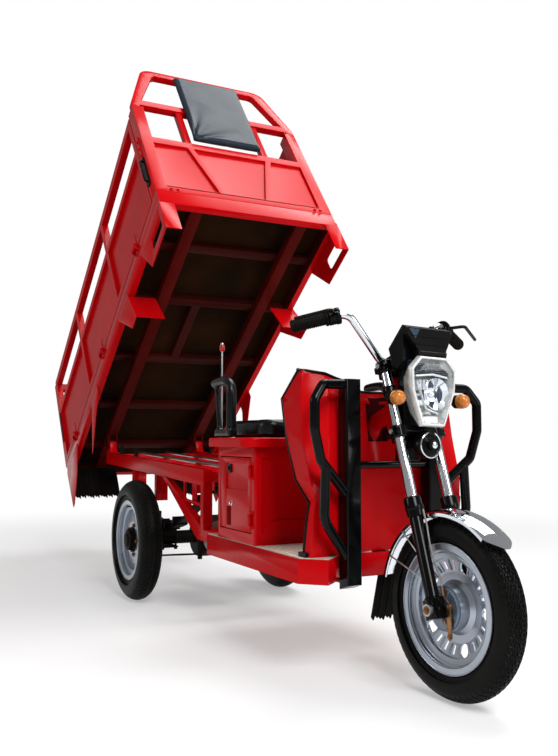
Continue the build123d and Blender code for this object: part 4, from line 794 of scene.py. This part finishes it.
for hand, side in SIDES:
    at = Vector((1553, side * 115, 774))
    cup = Build()
    cup.lathe([(-1, 10), (1, 15), (8, 19.4), (17, 19.8), (18, 18)], at, X, 36)
    piece(f"indicator_cup_{hand}", cup, TURNED, "plastic", "steering")
    shine = Build()
    shine.ring(at + Vector((18.5, 0, 0)), X, 19.0, 1.5)
    piece(f"indicator_rim_{hand}", shine, TURNED, "copper", "steering")
    glow = Build()
    glow.lathe([(16, 19.4), (33, 19.4), (39, 17), (43.5, 12), (45.6, 6), (46, 0)], at, X, 36)
    for c, s in arc(12):
        glow.tube([at + Vector((x, r * c, r * s)) for x, r in
                   ((45.5, 2), (41.6, 13.6), (33, 19.2), (20, 19.2))], 0.9, 6)
    piece(f"indicator_lens_{hand}", glow, TURNED, "amber", "steering")

# ---- grips and controls
for hand, side in SIDES:
    mirrored = Vector((1, side, 1))
    tip_at = BAR_TIP * mirrored
    inward = (BAR_BEND * mirrored - tip_at).normalized()
    rings = Build()
    for k in range(15):
        rings.ring(tip_at + inward * (7 + 6 * k), inward, 16.8, 1.7, 32)
    rings.lathe([(95, 17), (96, 22), (101, 22), (102, 17)], tip_at, inward, 32)
    rings.lathe([(-2, 9), (-2, 15), (1, 18.5), (4, 18.5), (5, 17)], tip_at, inward, 32)
    piece(f"grip_rings_{hand}", rings, FORK, "rubber", "steering")
    box = Build()
    box.lathe([(103, 17), (105, 22.5), (124, 22.5), (127, 18)], tip_at, inward, 28)
    piece(f"switch_box_{hand}", box, FORK, "plastic", "steering")
    for k, look in enumerate(("red_lens", "white", "amber")):
        lean = Matrix.Rotation(math.radians(-42 + 34 * k) * -side, 3, inward)
        out = lean @ Vector((0.25, 0, 0.97))
        button = Build()
        button.lathe([(0, 4.6), (2.6, 4.6), (3.4, 3.4), (3.5, 0)],
                     tip_at + inward * 115 + out * 21.6, out, 16)
        piece(f"button_{hand}_{k}", button, FORK, look, "steering")
    perch = Build()
    perch.bolt(tip_at + inward * 120 + Vector((20, 0, 4)), (0.3, 0, 1), 4.4, 5)
    piece(f"lever_pin_{hand}", perch, FORK, "steel", "steering")

# ---- leg shield
shield = skin("leg_shield")
# its wing edges (behind the guard, y, z) and its dipped top edge (y, z)
edge = [(46, 268, 339.6), (30, 266, 442), (20, 263, 490), (93, 266, 550), (149, 268, 673),
        (181, 266, 786), (82, 262, 868)]
top = [(266, 866), (240, 864), (187, 856), (145, 844), (95, 834), (62, 829), (52, 808),
       (26, 807), (0, 807)]
trim = Build()
for side in (-1, 1):
    trim.tube([(GUARD_X - behind, side * (y - 1), z) for behind, y, z in edge], 4.4, 10)
lip = []
for y, z in top:
    at = from_ahead(shield, DRAWN, y, z - 9) or from_ahead(shield, DRAWN, y * 0.97, z - 14)
    if at:
        lip.append(Vector((at.x - 2, y, z)))
lip = [Vector((p.x, -p.y, p.z)) for p in lip] + [p for p in reversed(lip) if p.y > 1]
trim.tube(lip, 4.2, 10)
for side in (-1, 1):
    trim.box((1334, side * 268 - 5, 339.8), (1376, side * 268 + 5, 352))
piece("shield_trim", trim, DRAWN, "plastic", "chassis")
ridges = Build()
for side in (-1, 1):
    for z in (640, 655, 670, 685):
        run = [from_ahead(shield, DRAWN, side * y, z + (125 - y) * 55 / 75)
               for y in np.linspace(125, 50, 9)]
        run = [p for p in run if p]
        if len(run) > 2:
            ridges.tube(run, 2.6, 8)
piece("shield_ridges", ridges, DRAWN, "red", "chassis")

# ---- floor, seat box and lever
checks = Build()
for i in range(13):
    for j in range(32):
        x, y = 1096 + 18 * i, -279 + 18 * j
        turn = math.radians(45 if (i + j) % 2 else -45)
        c, s = math.cos(turn), math.sin(turn)
        plan = [(u * c - v * s, u * s + v * c)
                for u, v in ((-8.5, 0), (0, -2.2), (8.5, 0), (0, 2.2))]
        foot = [(x + u, y + v, FLOOR_TOP - 0.3) for u, v in plan]
        crest = [(x + 0.55 * u, y + 0.55 * v, FLOOR_TOP + 1.4) for u, v in plan]
        checks.loops([foot, crest])
piece("floor_lozenges", checks, DRAWN, "speckle", "chassis", sharp=math.radians(80))

# a dark panel stands behind the shield's open neck, its dark red a painted shade of the neck's
# shaded inside
beside_neck = [from_ahead(shield, DRAWN, 46, z) for z in (670, 715, 760)]
behind_neck = min([p.x for p in beside_neck if p] + [1330]) - 9
neck = Build()
neck.box((behind_neck - 4, -62, 640), (behind_neck, 62, 790))
piece("neck_shade_panel", neck, DRAWN, "dark", "chassis")

door = Build()
door.lathe([(-1, 9), (1, 9), (2, 6), (7, 6), (8, 4)], (903, -290, 459), (0, -1, 0), 20)
piece("door_stud", door, DRAWN, "chrome", "box_door")
lock = Build()
lock.box((864, -290.6, 557), (896, -288.4, 585))
lock.lathe([(0, 7), (3, 7), (3.6, 5)], (880, -290.4, 571), (0, -1, 0), 20)
piece("door_lock", lock, DRAWN, "plastic", "box_door", bevel=0.6)
vents = Build()
for k in range(5):
    vents.box((868 + 7 * k, -290.8, 386), (870.6 + 7 * k, -289.6, 448))
piece("door_vents", vents, DRAWN, "dark", "box_door")

knob = Build()
knob.lathe([(-14, 5), (-12, 7), (-4, 9.5), (4, 9.5), (9, 7), (11, 3), (11.4, 0)],
           (792, -279, 983), Z, 24)
piece("lever_knob", knob, DRAWN, "red_lens", "chassis")

# ---- under the bed
def rail_top(x):
    """The sloping chassis rails' top."""
    return 606 - 50 * (x + 800) / 1360


pins = Build()
for x in (-581, -344):
    for side in (-1, 1):
        pins.lathe([(0, 7), (38, 7), (40, 5)], (x, side * RAIL_Y, rail_top(x) - 1), Z, 18)
        pins.bolt((x, side * RAIL_Y, rail_top(x)), Z, 11, 9)
        pins.bolt((x, side * RAIL_Y, rail_top(x) + 22), Z, 10, 8)
piece("rail_pins", pins, DRAWN, "black", "chassis")
for name, y, r in (("wiring_pipe", -95, 8), ("brake_pipe", 60, 6)):
    pipe = Build()
    pipe.tube([(x, y, rail_top(x) - 10 + r) for x in (-785, 535)], r, 16)
    piece(name, pipe, DRAWN, "steel", "chassis")
rods = Build()
rods.tube([(-30, -220, 170), (430, -220, 232), (444, -220, 236)], 4, 10)
rods.box((438, -227, 215), (452, -213, 300))
rods.tube([(445, -220, 296), (530, -228, 312)], 5, 10)
rods.lathe([(-12, 6), (12, 6)], (-30, -220, 170), Y, 14)
rods.tube([(-30, -220, 170), (-24, -226, 214), (-12, -232, 240)], 4.5, 10)
piece("brake_rod", rods, DRAWN, "grime", "chassis")
tabs = Build()
tabs.tube([(324, -RAIL_Y, 430), (530, -RAIL_Y, 420)], 7, 12)
tabs.box((311, -RAIL_Y - 4, 408), (325, -RAIL_Y + 4, rail_top(318) - 58))
piece("side_tab", tabs, DRAWN, "red", "chassis", bevel=1)
clamps = Build()
for side in (-1, 1):
    for x in (-36, 36):
        clamps.tube([(x, side * y, z) for y, z in ((171, 206), (171, 314), (176, 321), (224, 321),
                                                   (229, 314), (229, 206))], 5, 10)
        for y in (171, 229):
            clamps.bolt((x, side * y, 211), (0, 0, -1), 8, 9)
    clamps.box((-48, side * SPRING_Y - 36, 210), (48, side * SPRING_Y + 36, 217))
    for x in (-150, 150):
        clamps.box((x - 9, side * SPRING_Y - 25, 312), (x + 9, side * SPRING_Y + 25, 350))
piece("axle_clamps", clamps, DRAWN, "grime", "chassis", bevel=0.8)

# ---- the bed's fittings
seam = Build()
seam.tube([(bed_length + 0.4, -344, 108), (bed_length + 0.4, 344, 108)], 1.5, 6)
piece("sill_seam", seam, BED, "dark", "bed")
studs = Build()
for y, h in ((-329, 92), (-300, 92), (345, 92), (318, 92)):
    studs.bolt((bed_length + 0.2, y, h), X, 6.5, 6)
piece("sill_studs", studs, BED, "red", "bed", bevel=0.5)
for hand, side in SIDES:
    latch = Build()
    face = side * POST_FACE
    latch.box((1800, face + side * 0.5 - 4.5, 150), (1825, face + side * 0.5 + 4.5, 318))
    latch.tube([(1812, side * y, h) for y, h in ((402, 170), (411, 178), (411, 296), (402, 306))],
               5.5, 10)
    latch.box((10, face - 3, 214), (26, face + 3, 410))
    piece(f"board_latch_{hand}", latch, BED, "plastic", "bed", bevel=1.5)
    hasp = Build()
    hasp.box((1795, face - 3, 326), (1823, face + 2, 460))
    for h in (346, 392, 438):
        hasp.bolt((1809, side * 398, h), (0, side, 0), 6, 6)
    piece(f"board_hasp_{hand}", hasp, BED, "red", "bed", bevel=1.2)
    lamp_back = Build()
    lamp_back.box((-3, side * 340 - 42, 6), (1, side * 340 + 42, 52))
    piece(f"tail_lamp_back_{hand}", lamp_back, BED, "plastic", "bed", bevel=1)
    tail = Build()
    tail.box((-12, side * 340 - 38, 10), (-2, side * 340 + 38, 48))
    piece(f"tail_lamp_{hand}", tail, BED, "red_lens", "bed", bevel=3)


# ---- padded pieces
CLOTH_FRAMES = 16
CLOTH = {"use_pressure": True, "quality": 6, "mass": 0.3, "tension_stiffness": 30,
         "compression_stiffness": 30, "bending_stiffness": 0.8}


def limit_move(obj, before, cap):
    """Keeps every point within a set distance of where it lay before it was blown up."""
    for v, rest in zip(obj.data.vertices, before):
        move = v.co - rest
        if move.length > cap:
            v.co = rest + move * (cap / move.length)


def puff(obj, voxel, pressure, cap):
    """Remeshes a closed piece and blows it up like an upholstered cover."""
    scene.collection.objects.link(obj)
    bpy.context.view_layer.objects.active = obj
    for other in bpy.context.selected_objects:
        other.select_set(False)
    obj.select_set(True)
    remesh = obj.modifiers.new("remesh", "REMESH")
    remesh.mode = "VOXEL"
    remesh.voxel_size = voxel
    bpy.ops.object.modifier_apply(modifier="remesh")
    before = [v.co.copy() for v in obj.data.vertices]
    cloth = obj.modifiers.new("cloth", "CLOTH")
    cloth.settings.uniform_pressure_force = pressure
    cloth.settings.effector_weights.gravity = 0
    for key, value in CLOTH.items():
        setattr(cloth.settings, key, value)
    cloth.point_cache.frame_start = 1
    cloth.point_cache.frame_end = CLOTH_FRAMES
    for frame_number in range(1, CLOTH_FRAMES + 1):
        scene.frame_set(frame_number)
    bpy.ops.object.modifier_apply(modifier="cloth")
    scene.frame_set(1)
    limit_move(obj, before, cap)
    smooth = obj.modifiers.new("smooth", "SMOOTH")
    smooth.factor = 0.5
    smooth.iterations = 3
    bpy.ops.object.modifier_apply(modifier="smooth")
    for p in obj.data.polygons:
        p.use_smooth = True
    sub = obj.modifiers.new("sub", "SUBSURF")
    sub.levels = 1
    sub.render_levels = 1


def copy_of(name, node, shrink):
    """A copy of a CAD node's mesh, drawn in by some millimetres."""
    mesh = nodes[node].data.copy()
    obj = bpy.data.objects.new(name, mesh)
    bm = bmesh.new()
    bm.from_mesh(mesh)
    bmesh.ops.remove_doubles(bm, verts=bm.verts, dist=1e-5)
    bm.normal_update()
    for v in bm.verts:
        v.co -= v.normal * shrink * MM
    bm.to_mesh(mesh)
    bm.free()
    return obj


def keep_in(obj, node):
    """Holds a cover within its CAD node's box, give or take a little."""
    slack = 0.0008
    corners = np.array([v.co[:] for v in nodes[node].data.vertices])
    low, high = Vector(corners.min(0)), Vector(corners.max(0))
    for v in obj.data.vertices:
        v.co = Vector([min(max(v.co[i], low[i] - slack), high[i] + slack) for i in range(3)])


def loose(name, bm, place):
    """A mesh object of a build, set in the row frame and not yet linked."""
    bm.transform(place)
    bmesh.ops.recalc_face_normals(bm, faces=bm.faces)
    mesh = bpy.data.meshes.new(name)
    bm.to_mesh(mesh)
    bm.free()
    return bpy.data.objects.new(name, mesh)


def slab_object(name, low, high, place, edge):
    """A block with rounded edges, as a cover's starting shape."""
    b = Build()
    b.box(low, high)
    bmesh.ops.bevel(b.bm, geom=b.bm.edges[:], offset=edge, segments=3, affect="EDGES")
    return loose(name, b.bm, place)


cushion = copy_of("cushion_cover", "seat_cushion", 3.0)
cushion_low, cushion_high = span("seat_cushion", DRAWN)
puff(cushion, 0.0060, 5.0, 0.006)
centre = DRAWN @ ((cushion_low + cushion_high) / 2)
half = (cushion_high - cushion_low) / 2
for v in cushion.data.vertices:
    across = (v.co.x - centre.x) / (half.x * MM)
    along = (v.co.y - centre.y) / (half.y * MM)
    if v.co.z > centre.z:
        rim = max(abs(across), abs(along))
        # a shallow dish for the rider, a channel round the border and one across
        dish = 0.007 * math.exp(-((across - 0.1) ** 2 / 0.35 + along ** 2 / 0.3))
        border = 0.0045 * math.exp(-((rim - 0.80) / 0.035) ** 2)
        seam = 0.004 * math.exp(-((across + 0.25) / 0.03) ** 2) if rim < 0.8 else 0
        v.co.z -= (dish + (border + seam)) * min(1, (v.co.z - centre.z) / (half.z * MM))
keep_in(cushion, "seat_cushion")
dress(cushion, M["vinyl"])
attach(cushion, "chassis")
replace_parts(cushion, "seat_cushion")

pad_low, pad_high = span("backrest_pad", BED)
# thinner than the CAD node, and it ends under the hoop's top bar
pad_high = Vector((pad_low.x + 26, pad_high.y, pad_high.z - 34))
pad_low = Vector((pad_low.x, pad_low.y, pad_low.z - 2))
pad = slab_object("backrest_cover", pad_low + Vector((0, 2, 2)), pad_high - Vector((2, 2, 2)),
                  BED, 5)
puff(pad, 0.0050, 4.0, 0.005)
to_bed = BED.inverted()
for v in pad.data.vertices:
    p = to_bed @ v.co
    face = min(max((p.x - pad_low.x) / (pad_high.x - pad_low.x), 0), 1)
    if face < 0.5:
        continue
    u, w = p.y - pad_low.y, p.z - pad_low.z
    reach, turn = math.hypot(u, w), math.degrees(math.atan2(w, u))
    sink = 0.0
    # creases (degrees, length, depth) fan out from the corner that the cover is pulled from
    for at, length, deep in ((74, 300, 9.0), (52, 150, 4.0), (24, 260, 8.0)):
        fade = max(0.0, 1 - reach / length)
        sink += deep * fade ** 0.7 * math.exp(-((turn - at) / (6.5 + 90 / (reach + 12))) ** 2)
    # a seam runs round its border
    inset = min(p.y - pad_low.y, pad_high.y - p.y, p.z - pad_low.z, pad_high.z - p.z)
    sink += 2.4 * math.exp(-((inset - 16) / 2.6) ** 2)
    p.x -= sink * (face - 0.5) * 2
    v.co = BED @ p
dress(pad, M["pad"])
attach(pad, "bed")
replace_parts(pad, "backrest_pad")

rest_low, rest_high = span("armrests", DRAWN)
loops = Build()
for side in (-1, 1):
    y, r = side * 308, 17  # the loop's middle and its tube's radius
    low, high = rest_low.z + 1, rest_high.z - r
    front = rest_high.x - 18
    bar = curve([(rest_low.x + r, y, high - 4), (rest_low.x + 70, y, high),
                 (rest_high.x - 52, y, high - 3), (rest_high.x - 24, y, high - 24),
                 (front, y, high - 62), (front, y, low + 40), (front, y, low + 12)], 8)
    loops.tube(bar, r, 24)
    loops.dome(bar[0] + Vector(X), (-1, 0, 0), r, 15)
    loops.tube(curve([(rest_low.x + 26, y, high - 6), (rest_low.x + 40, y, high - 60),
                      (rest_low.x + 58, y, low + 24), (rest_low.x + 62, y, low + 12)], 6), 9, 16)
    loops.box((rest_low.x + 40, y - 15, low), (rest_high.x - 1, y + 15, low + 26))
rests = loose("armrest_covers", loops.bm, DRAWN)
puff(rests, 0.0045, 3.0, 0.004)
keep_in(rests, "armrests")
dress(rests, M["vinyl"])
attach(rests, "chassis")
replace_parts(rests, "armrests")


# ---- stage, light and camera
def ray_is(ns, ls, ray_kinds):
    """One where the ray is any of these kinds, else nothing."""
    path = ns.new("ShaderNodeLightPath")
    fac = 0.0
    for kind in ray_kinds:
        fac = calc(ns, ls, "MAXIMUM", fac, path.outputs[kind])
    return fac


def stage():
    """A pale floor that fades to white away from the tricycle, and a white world."""
    bpy.ops.mesh.primitive_grid_add(x_subdivisions=2, y_subdivisions=2, size=60, location=(0, 0, 0))
    floor = bpy.context.object
    floor.name = "floor"
    m, ns, ls, b = material("studio_floor")
    put(b, {"Roughness": 0.9, "Base Color": (0.86, 0.86, 0.86, 1), "Specular IOR Level": 0.1})
    geo = ns.new("ShaderNodeNewGeometry")
    far = ns.new("ShaderNodeVectorMath")
    far.operation = "LENGTH"
    ls.new(geo.outputs["Position"], far.inputs[0])
    fade = ns.new("ShaderNodeMapRange")
    fade.interpolation_type = "SMOOTHSTEP"
    put(fade, {"From Min": 1.6, "From Max": 5.0, "To Min": 0.35})
    ls.new(far.outputs["Value"], fade.inputs["Value"])
    rays = ray_is(ns, ls, ("Is Camera Ray", "Is Glossy Ray", "Is Transmission Ray"))
    seen = calc(ns, ls, "MULTIPLY", fade.outputs["Result"], rays)
    white = (1, 1, 1, 1)
    glow = ns.new("ShaderNodeEmission")
    put(glow, {"Color": white})
    blend(ns, ls, seen, b.outputs["BSDF"], glow.outputs["Emission"], "Material Output")
    dress(floor, m)
    w = bpy.data.worlds.new("studio")
    scene.world = w
    w.use_nodes = True
    ns, ls = w.node_tree.nodes, w.node_tree.links
    light, back = ns["Background"], ns.new("ShaderNodeBackground")
    put(light, {"Color": white, "Strength": 0.30})
    put(back, {"Color": white, "Strength": 1.0})
    blend(ns, ls, ray_is(ns, ls, ("Is Camera Ray", "Is Transmission Ray")),
          light.outputs["Background"], back.outputs["Background"], "World Output")


def lamp(name, loc, target, size, watts):
    """A square soft box."""
    d = bpy.data.lights.new(name, "AREA")
    d.energy = watts
    d.size = size
    o = add(name, d)
    o.location = loc
    o.rotation_euler = (Vector(target) - Vector(loc)).to_track_quat("-Z", "Y").to_euler()


def camera():
    """The photograph's own viewing place, with a plain upright lens."""
    yaw, pitch = math.radians(153.16), math.radians(4.44)
    cam = bpy.data.cameras.new("camera")
    cam.sensor_width = 36.0
    cam.lens = 38.73
    cam.clip_start = 0.05
    o = add("camera", cam)
    o.location = (3.1509, -1.3650, 0.6606)
    look = Vector((math.cos(yaw) * math.cos(pitch), math.sin(yaw) * math.cos(pitch),
                   math.sin(pitch)))
    o.rotation_euler = look.to_track_quat("-Z", "Y").to_euler()
    scene.camera = o


stage()
lamp("overhead", (0.1, 1.8, 5.2), (0.7, 0, 1.9), 3.0, 200)
lamp("key", (5.0, -0.4, 4.2), (0.2, 0, 0.8), 2.2, 260)
lamp("side", (-1.0, -5.0, 2.6), (0, 0, 0.8), 1.6, 40)
lamp("front", (4.6, 2.6, 2.0), (0.6, 0, 0.7), 1.6, 45)
camera()
scene.view_settings.view_transform = "Standard"
